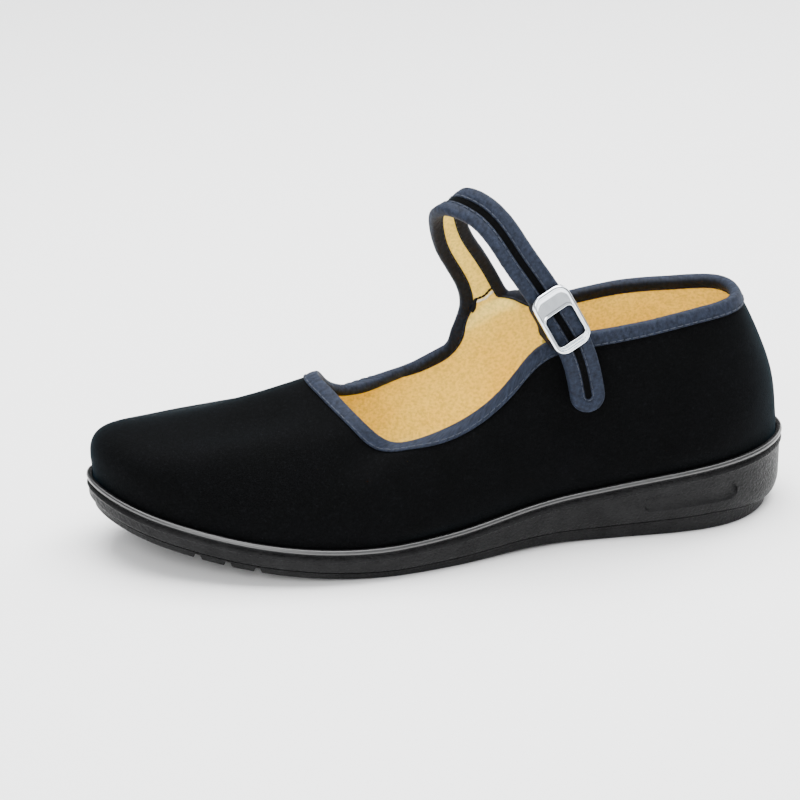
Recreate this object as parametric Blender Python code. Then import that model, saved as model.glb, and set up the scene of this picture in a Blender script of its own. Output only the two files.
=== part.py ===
"""Chinese cloth shoe for the left foot: a velvet strap shoe on a moulded sole.

Metres, +Z up.  The toe points to -X, the heel to +X and the outer side of the foot to -Y.
The origin is on the floor, under the middle of the shoe.

The form hangs on one closed run of rays round the foot.  Each ray starts on the rim of the sole
and ends on the collar, and the upper is the surface through the rays.  The sole, the insole, the
binding and the foot of the strap are all worked out from that same surface.
"""

import math

import bmesh
import bpy
import numpy as np
from mathutils import Matrix, Vector

# Driving sizes
SOLE_LENGTH = 0.256
BALL_WIDTH = 0.0866
HEEL_HEIGHT = 0.0285          # rim of the sole above the floor, at the back of the heel
COLLAR_HEIGHT = 0.082         # edge of the upper above the floor, at the back of the heel
TOE_SPRING = 0.016
WAIST_LIFT = 0.0008           # arch of the tread between heel and forefoot

WALL = 0.0022                 # velvet, backing and lining together
GAP = 0.0003                  # between two pieces that meet

# Sole
RIM_STEP = 0.0024             # how far the upper stands inside the rim
CUP_DEPTH = 0.0045            # floor of the cup below the rim
BEAD_HEIGHT = 0.0024
GROOVE_DEPTH = 0.0007
LEDGE_DROP = 0.0043           # lower line of the side below the rim
TREAD_HEEL = 0.0072
TREAD_FOREFOOT = 0.0028
TREAD_INSET = 0.0027
TREAD_BEVEL = 0.0009
HEEL_UNDERCUT = 0.0028        # extra inset of the tread at the back of the heel
WALL_TURN = 0.65              # share of the way down its side at which the sole turns in
WALL_LEAN = 0.25              # share of the side's lean that it has there
TREAD_PITCH = 0.0099
TREAD_GROOVE_WIDTH = 0.0026
TREAD_GROOVE_DEPTH = 0.0018
TREAD_GROOVES = 3
TREAD_FIRST = 0.873           # share of SOLE_LENGTH at the groove nearest the toe
PANEL_FROM = 0.096            # shares of SOLE_LENGTH at the ends of the panel in the heel's side
PANEL_TO = 0.238
PANEL_DROP = 0.0140           # middle of the panel below the rim, at its back and at its front
PANEL_DROP_FRONT = 0.0102
PANEL_HEIGHT = 0.0062
PANEL_DEPTH = 0.0007

INSOLE_THICKNESS = 0.0022

# Binding, strap and buckle
BINDING_DEPTH = 0.0041        # of each leg, over the wall or the strap
BINDING_THICKNESS = 0.0008
STRAP_THICKNESS = 0.0022
STRAP_WIDTH = 0.0096
BUCKLE_LENGTH = 0.0240
BUCKLE_PLATE = 0.0086         # the broad upper part of the face
BUCKLE_BAR = 0.0034           # the narrow lower part of the face
BUCKLE_SIDE = 0.0019          # the sides of the face, beside the window
BUCKLE_SHEET = 0.0009
BUCKLE_BAR_RADIUS = 0.0007
BUCKLE_CORNER = 0.0048
BUCKLE_SKIRT = 0.0012         # how far the sides reach behind the middle of the strap
BUCKLE_PLAY = 0.0010          # between the strap's face and the cover
BUCKLE_SIDE_PLAY = 0.0007     # beside each edge of the strap
BUCKLE_BAR_PLAY = 0.0004      # between the strap's back and the tab
BUCKLE_BAR_PLACE = 0.0030     # of the bar, from the buckle's middle towards the strap's tip
TAB_WIDTH = 0.0096
TAB_THICKNESS = 0.0008
TAB_REACH = 0.0100            # how far the tab runs down inside the quarter
SEAM_CLEAR = 0.0021           # from the seam to the start of the strap's binding

STRAP_FACE = STRAP_THICKNESS / 2 + GAP + BINDING_THICKNESS
BUCKLE_WIDTH = STRAP_WIDTH + 2 * (GAP + BINDING_THICKNESS + BUCKLE_SIDE_PLAY + BUCKLE_SHEET)
WALL_TOP = LEDGE_DROP + 0.4 * BEAD_HEIGHT
BUCKLE_BAR_DROP = STRAP_FACE + 2 * GAP + TAB_THICKNESS + BUCKLE_BAR_RADIUS + BUCKLE_BAR_PLAY

SECTIONS = 76                 # round the foot, half on each side
STEPS = 2                     # rings between two levels of the upper
EAR_SPANS = 4                 # sections under the foot of the strap
STRAP_STATIONS = 38
TIP_STEPS = 5                 # round each quarter of the strap's tip

# Rays, from the back of the heel along the outer side to the toe and back along the inner side.
# along and across are shares of SOLE_LENGTH and of half BALL_WIDTH, collar_z of COLLAR_HEIGHT.
#    name                 rim_along rim_across  collar_along collar_across collar_z  profile
RAYS = (
    ("heel_back",          0.000,    0.040,      0.074,       0.050,        1.000,  "heel"),
    ("heel_corner_outer",  0.036,   -0.416,      0.090,      -0.242,        0.998,  "heel"),
    ("heel_side_outer",    0.128,   -0.688,      0.156,      -0.395,        0.984,  "quarter"),
    ("heel_front_outer",   0.242,   -0.707,      0.242,      -0.474,        0.958,  "quarter"),
    ("waist_outer",        0.343,   -0.704,      0.324,      -0.527,        0.945,  "quarter"),
    ("waist_front_outer",  0.421,   -0.785,      0.388,      -0.577,        0.908,  "quarter"),
    ("ball_back_outer",    0.499,   -0.896,      0.435,      -0.591,        0.761,  "quarter"),
    ("ball_outer",         0.585,   -0.984,      0.488,      -0.600,        0.631,  "quarter"),
    ("ball_front_outer",   0.663,   -1.000,      0.550,      -0.617,        0.560,  "vamp"),
    ("throat_outer",       0.733,   -0.961,      0.599,      -0.600,        0.543,  "vamp"),
    ("toe_side_outer",     0.808,   -0.850,      0.632,      -0.547,        0.614,  "vamp"),
    ("toe_corner_outer",   0.884,   -0.647,      0.655,      -0.370,        0.681,  "toe_corner"),
    ("toe_front_outer",    0.958,   -0.312,      0.672,      -0.139,        0.727,  "toe"),
    ("toe_tip",            1.000,    0.277,      0.680,       0.104,        0.740,  "toe"),
    ("toe_front_inner",    0.972,    0.624,      0.669,       0.335,        0.697,  "toe"),
    ("toe_corner_inner",   0.900,    0.859,      0.652,       0.497,        0.621,  "toe_corner"),
    ("toe_side_inner",     0.808,    0.977,      0.624,       0.630,        0.558,  "vamp"),
    ("throat_inner",       0.718,    1.000,      0.585,       0.693,        0.548,  "vamp"),
    ("ball_inner",         0.632,    0.961,      0.538,       0.707,        0.589,  "vamp"),
    ("ball_back_inner",    0.546,    0.868,      0.488,       0.702,        0.655,  "quarter"),
    ("waist_front_inner",  0.468,    0.762,      0.445,       0.663,        0.730,  "quarter"),
    ("waist_inner",        0.382,    0.716,      0.375,       0.624,        0.846,  "quarter"),
    ("heel_front_inner",   0.289,    0.727,      0.297,       0.600,        0.910,  "quarter"),
    ("heel_mid_inner",     0.211,    0.739,      0.218,       0.566,        0.951,  "quarter"),
    ("heel_side_inner",    0.120,    0.704,      0.148,       0.462,        0.973,  "quarter"),
    ("heel_corner_inner",  0.036,    0.473,      0.090,       0.300,        0.994,  "heel"),
)
RIM_ALONG, RIM_ACROSS, COLLAR_ALONG, COLLAR_ACROSS, COLLAR_Z, PROFILE = range(1, 7)

# Levels of the upper between rim and collar.  lean is the share of the way in plan, rise the share
# of the way up, and bulge a share of RIM_STEP, outwards.
#              lean    rise  bulge
PROFILES = {
    "heel": ((0.03, 0.12, 0.05), (0.14, 0.37, 0.10), (0.42, 0.63, 0.10), (0.75, 0.86, 0.05)),
    "quarter": ((0.00, 0.12, 0.90), (0.12, 0.38, 0.90), (0.42, 0.66, 0.50), (0.75, 0.87, 0.15)),
    "vamp": ((0.02, 0.20, 0.40), (0.10, 0.43, 0.50), (0.33, 0.69, 0.45), (0.68, 0.92, 0.12)),
    "toe_corner": ((0.00, 0.23, 0.20), (0.05, 0.46, 0.20), (0.23, 0.66, 0.15), (0.62, 0.84, 0.05)),
    "toe": ((-0.01, 0.26, 0.00), (0.02, 0.45, 0.00), (0.14, 0.56, 0.00), (0.52, 0.69, 0.00)),
}

# Height of the rim above the tread's own line, as shares of HEEL_HEIGHT
#               along  height
RIM_HEIGHTS = ((0.00, 1.000), (0.10, 0.947), (0.20, 0.860), (0.35, 0.684), (0.50, 0.526),
               (0.62, 0.449), (0.80, 0.421), (1.00, 0.421))

# Centre line of the strap above its seam, from the inner side over the foot to the tip.
# along, across and height are shares of SOLE_LENGTH, half BALL_WIDTH and COLLAR_HEIGHT,
# width is a share of STRAP_WIDTH, and tilt turns the strap's width up towards the heel.
#    name             along    across  height  width  tilt_deg
STRAP = (
    ("ear_low",       0.409,   0.672,  0.872,  1.99,  31.0),
    ("ear_high",      0.415,   0.666,  0.932,  1.52,  30.0),
    ("leg_low",       0.424,   0.645,  1.005,  1.33,  28.0),
    ("leg_middle",    0.442,   0.582,  1.108,  1.26,  26.0),
    ("leg_high",      0.463,   0.464,  1.232,  1.20,  27.0),
    ("bend_inner",    0.479,   0.305,  1.362,  1.12,  29.0),
    ("top_inner",     0.486,   0.120,  1.456,  1.05,  31.0),
    ("top_middle",    0.479,  -0.060,  1.503,  1.00,  31.0),
    ("top_outer",     0.458,  -0.225,  1.488,  1.00,  31.0),
    ("bend_outer",    0.436,  -0.390,  1.418,  1.00,  29.0),
    ("fall_high",     0.415,  -0.525,  1.318,  1.00,  26.0),
    ("fall_low",      0.394,  -0.600,  1.218,  1.00,  23.0),
    ("buckle_in",     0.3735, -0.630,  1.110,  1.00,  20.0),
    ("buckle_out",    0.348,  -0.662,  0.971,  1.00,  17.0),
    ("end_high",      0.3315, -0.670,  0.834,  1.00,  12.0),
    ("end_low",       0.325,  -0.692,  0.722,  1.00,   8.0),
    ("tip",           0.322,  -0.716,  0.655,  1.00,   7.0),
)
EAR_FRONT = 0.455             # where the seam of the strap starts and ends on the collar
EAR_REAR = 0.338

COLOURS = {
    #            red    green  blue   rough metallic
    "velvet": ((0.008, 0.009, 0.013), 0.95, 0.0),
    "lining": ((0.730, 0.450, 0.160), 0.60, 0.0),
    "binding": ((0.045, 0.060, 0.115), 0.75, 0.0),
    "sole": ((0.020, 0.020, 0.022), 0.45, 0.0),
    "metal": ((0.850, 0.860, 0.880), 0.15, 1.0),
}


def spline(knots, values, period=None):
    """Cubic spline through the rows of values, closed when a period is given."""
    knots = np.asarray(knots, float)
    values = np.asarray(values, float)
    count = len(knots)
    ends = np.append(knots, knots[0] + period) if period else knots
    nodes = np.vstack([values, values[:1]]) if period else values
    steps = np.diff(ends)
    slopes = np.diff(nodes, axis=0) / steps[:, None]
    system = np.zeros((count, count))
    right = np.zeros_like(values)
    for i in range(count):
        if not period and i in (0, count - 1):
            system[i, i] = 1.0
            continue
        before, after = steps[i - 1], steps[i]
        system[i, i - 1] += before / 6.0
        system[i, i] += (before + after) / 3.0
        system[i, (i + 1) % count] += after / 6.0
        right[i] = slopes[i] - slopes[i - 1]
    bends = np.linalg.solve(system, right)
    if period:
        bends = np.vstack([bends, bends[:1]])

    def at(t):
        if period:
            t = knots[0] + (t - knots[0]) % period
        i = int(np.clip(np.searchsorted(ends, t, side="right") - 1, 0, len(steps) - 1))
        width = steps[i]
        b = (t - ends[i]) / width
        a = 1.0 - b
        curve = ((a ** 3 - a) * bends[i] + (b ** 3 - b) * bends[i + 1]) * width ** 2 / 6.0
        return a * nodes[i] + b * nodes[i + 1] + curve

    return at


def station_x(along):
    return SOLE_LENGTH * (0.5 - along)


def along_of(x):
    return 0.5 - x / SOLE_LENGTH


def tread_line(x):
    """Height of the tread above the floor: toe spring, and the arch at the waist."""
    onset, steepness, waist_from, waist_to = 0.60, 1.8, 0.28, 0.52
    along = along_of(x)
    spring = TOE_SPRING * (max(0.0, along - onset) / (1.0 - onset)) ** steepness
    share = min(1.0, max(0.0, (along - waist_from) / (waist_to - waist_from)))
    return spring + WAIST_LIFT * math.sin(math.pi * share) ** 2


rim_height = spline([row[0] for row in RIM_HEIGHTS], [[row[1]] for row in RIM_HEIGHTS])


def rim_z(x):
    along = min(1.0, max(0.0, along_of(x)))
    return tread_line(x) + HEEL_HEIGHT * rim_height(along)[0]


def tread_height(x):
    """Height of the tread block, from the forefoot's thin sheet to the heel's block."""
    share = min(1.0, max(0.0, (0.60 - along_of(x)) / 0.55))
    return TREAD_FOREFOOT + (TREAD_HEEL - TREAD_FOREFOOT) * share


def ray_points():
    """Rim and collar points of each ray, and the knots that space the rays out."""
    half = BALL_WIDTH / 2
    rims, collars = [], []
    for row in RAYS:
        rims.append((station_x(row[RIM_ALONG]), half * row[RIM_ACROSS]))
        collars.append((station_x(row[COLLAR_ALONG]), half * row[COLLAR_ACROSS], COLLAR_HEIGHT * row[COLLAR_Z]))
    rims, collars = np.array(rims), np.array(collars)
    chords = [
        (np.linalg.norm(rims[i] - rims[i - 1]) + np.linalg.norm(collars[i] - collars[i - 1])) / 2
        for i in range(len(RAYS))
    ]
    knots = np.cumsum([0.0] + chords[1:])
    return rims, collars, knots, knots[-1] + chords[0]


RIM_POINTS, COLLAR_POINTS, KNOTS, ROUND = ray_points()
rim_outline = spline(KNOTS, RIM_POINTS, ROUND)
collar_line = spline(KNOTS, COLLAR_POINTS, ROUND)
HEEL_KNOT = KNOTS[0]
TOE_KNOT = KNOTS[[row[0] for row in RAYS].index("toe_tip")]


def outward(t):
    """Plan normal of the rim, away from the foot.  The rays run clockwise, seen from above."""
    step = ROUND * 1e-4
    tangent = rim_outline(t + step) - rim_outline(t - step)
    return np.array([-tangent[1], tangent[0]]) / np.linalg.norm(tangent)


def outline(t, inset, z):
    """Point of the rim outline moved inwards by inset, at height z."""
    point = rim_outline(t) - inset * outward(t)
    return np.array([point[0], point[1], z])


def feather(t):
    point = outline(t, RIM_STEP, 0.0)
    point[2] = rim_z(point[0])
    return point


def level_points():
    """Position of each level of the upper on each ray, rim and collar included."""
    levels = [[] for _ in range(6)]
    for row, t in zip(RAYS, KNOTS):
        low, high, away = feather(t), collar_line(t), np.append(outward(t), 0.0)
        levels[0].append(low)
        for level, (lean, rise, bulge) in enumerate(PROFILES[row[PROFILE]], 1):
            share = np.array([lean, lean, rise])
            levels[level].append(low + share * (high - low) + bulge * RIM_STEP * away)
        levels[5].append(high)
    return [spline(KNOTS, points, ROUND) for points in levels]


LEVELS = level_points()
LAST = len(LEVELS) - 1


def rib(t):
    """Curve of the upper over one section, with v from 0 at the rim to LAST at the collar."""
    low = feather(t)
    foot = low - np.array([0.0, 0.0, CUP_DEPTH])
    points = [foot, low] + [level(t) for level in LEVELS[1:]]
    knots = np.cumsum([0.0] + [math.sqrt(np.linalg.norm(b - a)) for a, b in zip(points, points[1:])])
    curve = spline(knots, points)

    def at(v):
        whole = min(LAST - 1, int(v))
        return curve(knots[whole + 1] + (v - whole) * (knots[whole + 2] - knots[whole + 1]))

    return at


def surface(t, v):
    return rib(t)(v)


def surface_normal(t, v):
    """Outward normal of the upper."""
    dt, dv = ROUND * 1e-3, 1e-2
    before, here, after = rib(t - dt), rib(t), rib(t + dt)
    low, high = max(0.0, v - dv), min(float(LAST), v + dv)
    normal = np.cross(here(high) - here(low), after(v) - before(v))
    return normal / np.linalg.norm(normal)


def find_place(along, line, from_knot, to_knot):
    """Parameter between two knots at which a line round the foot reaches a station."""
    target = station_x(along)
    low, high = from_knot, to_knot
    rising = line(high)[0] > line(low)[0]
    for _ in range(50):
        middle = (low + high) / 2
        if (line(middle)[0] < target) == rising:
            low = middle
        else:
            high = middle
    return (low + high) / 2


EAR_FRONT_PLACE = find_place(EAR_FRONT, collar_line, ROUND, TOE_KNOT)
EAR_REAR_PLACE = find_place(EAR_REAR, collar_line, ROUND, TOE_KNOT)
EAR_PLACES = [
    EAR_FRONT_PLACE + (EAR_REAR_PLACE - EAR_FRONT_PLACE) * i / EAR_SPANS for i in range(EAR_SPANS + 1)
]


def section_knots():
    """Places of the sections, as many on the outer as on the inner side, some on the ear's own."""
    half = SECTIONS // 2
    outer = [HEEL_KNOT + (TOE_KNOT - HEEL_KNOT) * i / half for i in range(half)]
    before = round(half * (EAR_FRONT_PLACE - TOE_KNOT) / (ROUND - TOE_KNOT + EAR_FRONT_PLACE - EAR_REAR_PLACE))
    after = half - before - EAR_SPANS
    inner = [TOE_KNOT + (EAR_FRONT_PLACE - TOE_KNOT) * i / before for i in range(before)]
    inner += EAR_PLACES
    inner += [EAR_REAR_PLACE + (ROUND - EAR_REAR_PLACE) * i / after for i in range(1, after)]
    return outer + inner


PLACES = section_knots()


def binding_v(t):
    """Level of the lower edge of the binding, BINDING_DEPTH straight below the collar."""
    curve = rib(t)
    top = curve(float(LAST))
    ray = curve(LAST - 0.1) - top
    ray /= np.linalg.norm(ray)
    step = ROUND * 1e-3
    tangent = collar_line(t + step) - collar_line(t - step)
    tangent /= np.linalg.norm(tangent)
    reach = BINDING_DEPTH / max(0.4, np.linalg.norm(np.cross(ray, tangent)))
    low, high = LAST - 1.45, float(LAST)
    for _ in range(30):
        middle = (low + high) / 2
        if np.linalg.norm(curve(middle) - top) > reach:
            low = middle
        else:
            high = middle
    return (low + high) / 2


def new_material(name):
    colour, roughness, metallic = COLOURS[name]
    material = bpy.data.materials.new(name)
    material.use_nodes = True
    shader = material.node_tree.nodes["Principled BSDF"]
    shader.inputs["Base Color"].default_value = (*colour, 1.0)
    shader.inputs["Roughness"].default_value = roughness
    shader.inputs["Metallic"].default_value = metallic
    return material


def add_object(name, mesh, material, collection, smooth_deg=40.0):
    mesh.materials.append(new_material(material))
    mesh.materials[0].name = name + "_" + material
    mesh.shade_smooth()
    mesh.set_sharp_from_angle(angle=math.radians(smooth_deg))
    piece = bpy.data.objects.new(name, mesh)
    collection.objects.link(piece)
    return piece


def loft(name, rings, caps):
    """Mesh through rings of equal count.

    caps closes the ends: "ladder" with rungs from side to side of the foot, "strip" with rungs
    through the thickness of a flat band, "flat" with one face each, and "joined" end to end.
    """
    net = bmesh.new()
    rows = [[net.verts.new(Vector(point)) for point in ring] for ring in rings]
    count = len(rows[0])
    pairs = list(zip(rows, rows[1:]))
    if caps == "joined":
        pairs.append((rows[-1], rows[0]))
    for low, high in pairs:
        for i in range(count):
            j = (i + 1) % count
            net.faces.new((low[i], low[j], high[j], high[i]))
    if caps == "ladder":
        for row in (rows[0], rows[-1]):
            for i in range(count // 2):
                corners = [row[i], row[i + 1], row[-i - 1], row[-i % count]]
                net.faces.new(list(dict.fromkeys(corners)))
    if caps == "strip":
        for row in (rows[0], rows[-1]):
            for i in range(count // 2 - 1):
                net.faces.new((row[i], row[i + 1], row[-i - 2], row[-i - 1]))
    if caps == "flat":
        net.faces.new(rows[0])
        net.faces.new(rows[-1])
    bmesh.ops.recalc_face_normals(net, faces=net.faces)
    mesh = bpy.data.meshes.new(name)
    net.to_mesh(mesh)
    net.free()
    return mesh


def undercut(t):
    """Inset of the tread below the rim, deeper round the back of the heel."""
    back = max(0.0, 1.0 - along_of(rim_outline(t)[0]) / 0.12)
    return TREAD_INSET + HEEL_UNDERCUT * back ** 1.5


def wall_inset(t, share):
    """Inset of the sole's side at a share of the way down it.  It turns in towards its foot."""
    lean = np.interp(share, (0.0, WALL_TURN, 1.0), (0.0, WALL_LEAN, 1.0))
    return GROOVE_DEPTH + (0.55 * undercut(t) - GROOVE_DEPTH) * lean


def side_wall_rings():
    """Rings of the sole from the edge of the tread up over the bead to the floor of the cup."""
    def ring(rule):
        return [rule(t) for t in PLACES]

    def at_tread(inset, lift, of_height):
        def rule(t):
            point = outline(t, undercut(t) + inset, 0.0)
            point[2] = tread_line(point[0]) + lift + of_height * tread_height(point[0])
            return point
        return rule

    def below_rim(inset, drop):
        def rule(t):
            point = outline(t, inset, 0.0)
            point[2] = rim_z(point[0]) - drop
            return point
        return rule

    def on_wall(share):
        def rule(t):
            point = outline(t, wall_inset(t, share), 0.0)
            foot = tread_line(point[0]) + tread_height(point[0]) + 0.5 * TREAD_BEVEL
            point[2] = foot + (1.0 - share) * (rim_z(point[0]) - WALL_TOP - foot)
            return point
        return rule

    cup_inset = RIM_STEP - GAP
    return [
        ring(at_tread(TREAD_BEVEL, 0.0, 0.0)),
        ring(at_tread(0.0, TREAD_BEVEL, 0.0)),
        ring(at_tread(0.0, 0.0, 1.0)),
        ring(on_wall(1.0)),
        ring(on_wall(WALL_TURN)),
        ring(below_rim(GROOVE_DEPTH, WALL_TOP)),
        ring(below_rim(0.3 * GROOVE_DEPTH, LEDGE_DROP)),
        ring(below_rim(0.3 * GROOVE_DEPTH, 1.45 * BEAD_HEIGHT)),
        ring(below_rim(1.6 * GROOVE_DEPTH, 1.20 * BEAD_HEIGHT)),
        ring(below_rim(0.2 * GROOVE_DEPTH, BEAD_HEIGHT)),
        ring(below_rim(0.0, 0.5 * BEAD_HEIGHT)),
        ring(below_rim(0.5 * GROOVE_DEPTH, 0.12 * BEAD_HEIGHT)),
        ring(below_rim(0.5 * RIM_STEP, 0.0)),
        ring(below_rim(cup_inset, GAP)),
        ring(below_rim(cup_inset, CUP_DEPTH)),
    ]


def block(name, size, middle, corner, edge, matrix):
    """Box with its upright corners rounded by corner and its face's rim by edge, as a mesh."""
    net = bmesh.new()
    bmesh.ops.create_cube(net, size=1.0, matrix=Matrix.Diagonal((*size, 1.0)))
    upright = [e for e in net.edges if abs((e.verts[0].co - e.verts[1].co).z) > 0.5 * size[2]]
    if corner:
        bmesh.ops.bevel(net, geom=upright, offset=corner, segments=5, profile=0.5, affect="EDGES")
    if edge:
        rim = [e for e in net.edges if min(v.co.z for v in e.verts) > 0.49 * size[2]]
        bmesh.ops.bevel(net, geom=rim, offset=edge, segments=2, profile=0.5, affect="EDGES")
    bmesh.ops.translate(net, verts=net.verts, vec=middle)
    bmesh.ops.transform(net, verts=net.verts, matrix=matrix)
    mesh = bpy.data.meshes.new(name)
    net.to_mesh(mesh)
    net.free()
    return mesh


def combine(piece, name, mesh, operation, cutters):
    """Join a mesh to a piece or cut it away, as a hidden helper object and a Boolean."""
    helper = bpy.data.objects.new(name, mesh)
    helper.hide_render = True
    helper.display_type = "WIRE"
    cutters.objects.link(helper)
    modifier = piece.modifiers.new(name, "BOOLEAN")
    modifier.operation = operation
    modifier.solver = "EXACT"
    modifier.object = helper


def wall_point(t, drop, depth):
    """Point of the sole's side, drop below the rim and depth inside its face."""
    point = outline(t, 0.0, 0.0)
    foot = rim_z(point[0]) - tread_line(point[0]) - tread_height(point[0]) - 0.5 * TREAD_BEVEL
    share = (drop - WALL_TOP) / (foot - WALL_TOP)
    return outline(t, wall_inset(t, share) + depth, rim_z(point[0]) - drop)


def panel_cutter(name, near, far):
    """Curved key that sinks the rounded panel into the heel's side."""
    steps = 14
    corner = 0.42 * PANEL_HEIGHT
    length = PANEL_TO - PANEL_FROM
    sections = []
    for i in range(steps + 1):
        share = 0.5 - 0.5 * math.cos(math.pi * (0.02 + 0.96 * i / steps))
        t = find_place(PANEL_FROM + share * length, rim_outline, near, far)
        end = min(share, 1.0 - share) * length * SOLE_LENGTH
        cut_back = corner - math.sqrt(max(0.0, corner ** 2 - max(0.0, corner - end) ** 2))
        half = PANEL_HEIGHT / 2 - cut_back
        middle = PANEL_DROP + share * (PANEL_DROP_FRONT - PANEL_DROP)
        sections.append([
            wall_point(t, middle - half, PANEL_DEPTH), wall_point(t, middle + half, PANEL_DEPTH),
            wall_point(t, middle + half, -4 * PANEL_DEPTH), wall_point(t, middle - half, -4 * PANEL_DEPTH),
        ])
    return loft(name, sections, "flat")


def make_outsole(collection, cutters):
    sole = add_object("outsole", loft("outsole", side_wall_rings(), "ladder"), "sole", collection, 30.0)
    for number in range(TREAD_GROOVES):
        x = station_x(TREAD_FIRST) + number * TREAD_PITCH
        slope = (tread_line(x + 0.001) - tread_line(x - 0.001)) / 0.002
        reach = 4 * TREAD_GROOVE_DEPTH
        place = Matrix.Translation((x, 0.0, tread_line(x) + TREAD_GROOVE_DEPTH - reach / 2))
        size = (TREAD_GROOVE_WIDTH, 1.3 * BALL_WIDTH, reach)
        turn = place @ Matrix.Rotation(-math.atan(slope), 4, "Y")
        name = f"tread_cut_{number}"
        combine(sole, name, block(name, size, Vector(), 0.0, 0.0, turn), "DIFFERENCE", cutters)
    for name, near in (("panel_cut_outer", HEEL_KNOT), ("panel_cut_inner", ROUND)):
        combine(sole, name, panel_cutter(name, near, TOE_KNOT), "DIFFERENCE", cutters)
    return sole


def make_insole(collection):
    inset = RIM_STEP + WALL + GAP
    bevel = 0.25 * INSOLE_THICKNESS

    def ring(more, lift):
        points = []
        for t in PLACES:
            point = outline(t, inset + more, 0.0)
            point[2] = rim_z(point[0]) - CUP_DEPTH + GAP + lift
            points.append(point)
        return points

    rings = [ring(0.0, 0.0), ring(0.0, INSOLE_THICKNESS - bevel), ring(bevel, INSOLE_THICKNESS)]
    return add_object("insole", loft("insole", rings, "ladder"), "lining", collection)


def make_upper(collection):
    outer, inner = [], []
    for t in PLACES:
        curve = rib(t)
        low = feather(t)
        away = np.append(outward(t), 0.0)
        foot = low - np.array([0.0, 0.0, CUP_DEPTH - GAP])
        out_points, in_points = [foot, low], [foot - WALL * away, low - WALL * away]
        below = binding_v(t)
        last_free = LAST - 1.5
        rows = [step / STEPS for step in range(1, int(last_free * STEPS) + 1)]
        rows += [(last_free + below) / 2, below, float(LAST)]
        for v in rows:
            point = curve(v)
            out_points.append(point)
            in_points.append(point - WALL * surface_normal(t, v))
        outer.append(out_points)
        inner.append(in_points)
    rows = len(outer[0])
    rings = [[points[row] for points in outer] for row in range(rows)]
    rings += [[points[row] for points in inner] for row in reversed(range(rows))]
    return add_object("upper", loft("upper", rings, "joined"), "velvet", collection)


def collar_frame(t):
    """Edge point, outward normal and the direction down the upper, across the collar's edge."""
    step = ROUND * 1e-3
    tangent = collar_line(t + step) - collar_line(t - step)
    tangent /= np.linalg.norm(tangent)
    normal = surface_normal(t, float(LAST))
    down = np.cross(normal, tangent)
    down /= np.linalg.norm(down)
    if np.dot(down, surface(t, LAST - 0.3) - collar_line(t)) < 0:
        down = -down
    return collar_line(t), normal, down


def edge_middle(t):
    """Middle of the upper's wall at the collar, raised by the gap."""
    edge, normal, down = collar_frame(t)
    return edge - 0.5 * WALL * normal - GAP * down


def binding_section(t):
    """Closed U over the collar's edge, from its inner face round to the low end of its outer leg.

    The order keeps the faces of the binding split along the same lines as the wall's own.
    """
    edge, normal, down = collar_frame(t)
    below = binding_v(t)
    low, low_normal = surface(t, below), surface_normal(t, below)
    skin = BINDING_THICKNESS
    inner = WALL + GAP
    top = GAP + skin
    return [
        low + GAP * low_normal,
        edge - GAP * down + GAP * normal,
        edge - GAP * down - inner * normal,
        low - inner * low_normal,
        low - (inner + skin) * low_normal,
        edge - 0.35 * top * down - (inner + 0.95 * skin) * normal,
        edge - top * down - 0.8 * WALL * normal,
        edge - top * down - 0.2 * WALL * normal,
        edge - 0.35 * top * down + 0.95 * top * normal,
        low + top * low_normal,
    ]


def make_collar_binding(collection):
    """Folded strip over the collar, open where the strap grows out of it."""
    step = abs(EAR_PLACES[1] - EAR_PLACES[0])
    clear = step * 2 * BINDING_THICKNESS / np.linalg.norm(collar_line(EAR_PLACES[1]) - collar_line(EAR_PLACES[0]))
    start, end = EAR_REAR_PLACE + clear, EAR_FRONT_PLACE - clear + ROUND
    places = [start]
    places += [t for t in PLACES if t > start + 0.3 * step]
    places += [t + ROUND for t in PLACES if t + ROUND < end - 0.3 * step]
    places.append(end)
    sections = [binding_section(t) for t in places]
    return add_object("collar_binding", loft("collar_binding", sections, "flat"), "binding", collection)


def strap_curve():
    """Centre, width and tilt of the strap over its length, from the seam on the collar."""
    half = BALL_WIDTH / 2
    ends = [edge_middle(EAR_FRONT_PLACE), edge_middle(EAR_REAR_PLACE)]
    span = ends[1] - ends[0]
    base = (ends[0] + ends[1]) / 2
    values = [(*base, np.linalg.norm(span), math.atan2(span[2], span[0]))]
    for _, along, across, height, width, tilt in STRAP:
        centre = (station_x(along), half * across, COLLAR_HEIGHT * height)
        values.append((*centre, STRAP_WIDTH * width, math.radians(tilt)))
    values = np.array(values)
    knots = np.cumsum([0.0] + [np.linalg.norm(b[:3] - a[:3]) for a, b in zip(values, values[1:])])
    return spline(knots, values), knots


STRAP_AT, STRAP_KNOTS = strap_curve()
STRAP_LENGTH = STRAP_KNOTS[-1]
TIP_RADIUS = STRAP_WIDTH / 2


def strap_frame(length):
    """Centre, direction, width direction from front to rear, outward normal and width."""
    step = 2e-4
    inside = min(length, STRAP_LENGTH - step)
    value = STRAP_AT(inside)
    direction = STRAP_AT(inside + step)[:3] - STRAP_AT(max(0.0, inside - step))[:3]
    direction /= np.linalg.norm(direction)
    centre = value[:3] + (length - inside) * direction
    across = np.array([math.cos(value[4]), 0.0, math.sin(value[4])])
    across -= direction * np.dot(across, direction)
    across /= np.linalg.norm(across)
    return centre, direction, across, np.cross(direction, across), value[3]


def strap_point(length, aside, lift):
    centre, _, across, normal, _ = strap_frame(length)
    return centre + aside * across + lift * normal


BUCKLE_PLACE = STRAP_KNOTS[[row[0] for row in STRAP].index("buckle_in") + 1] + 0.17 * BUCKLE_LENGTH


def straight_stations():
    """Stations of the strap from above its seam to where the tip starts to round."""
    end = STRAP_LENGTH - TIP_RADIUS
    return [SEAM_CLEAR] + [end * i / STRAP_STATIONS for i in range(1, STRAP_STATIONS + 1)]


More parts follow.
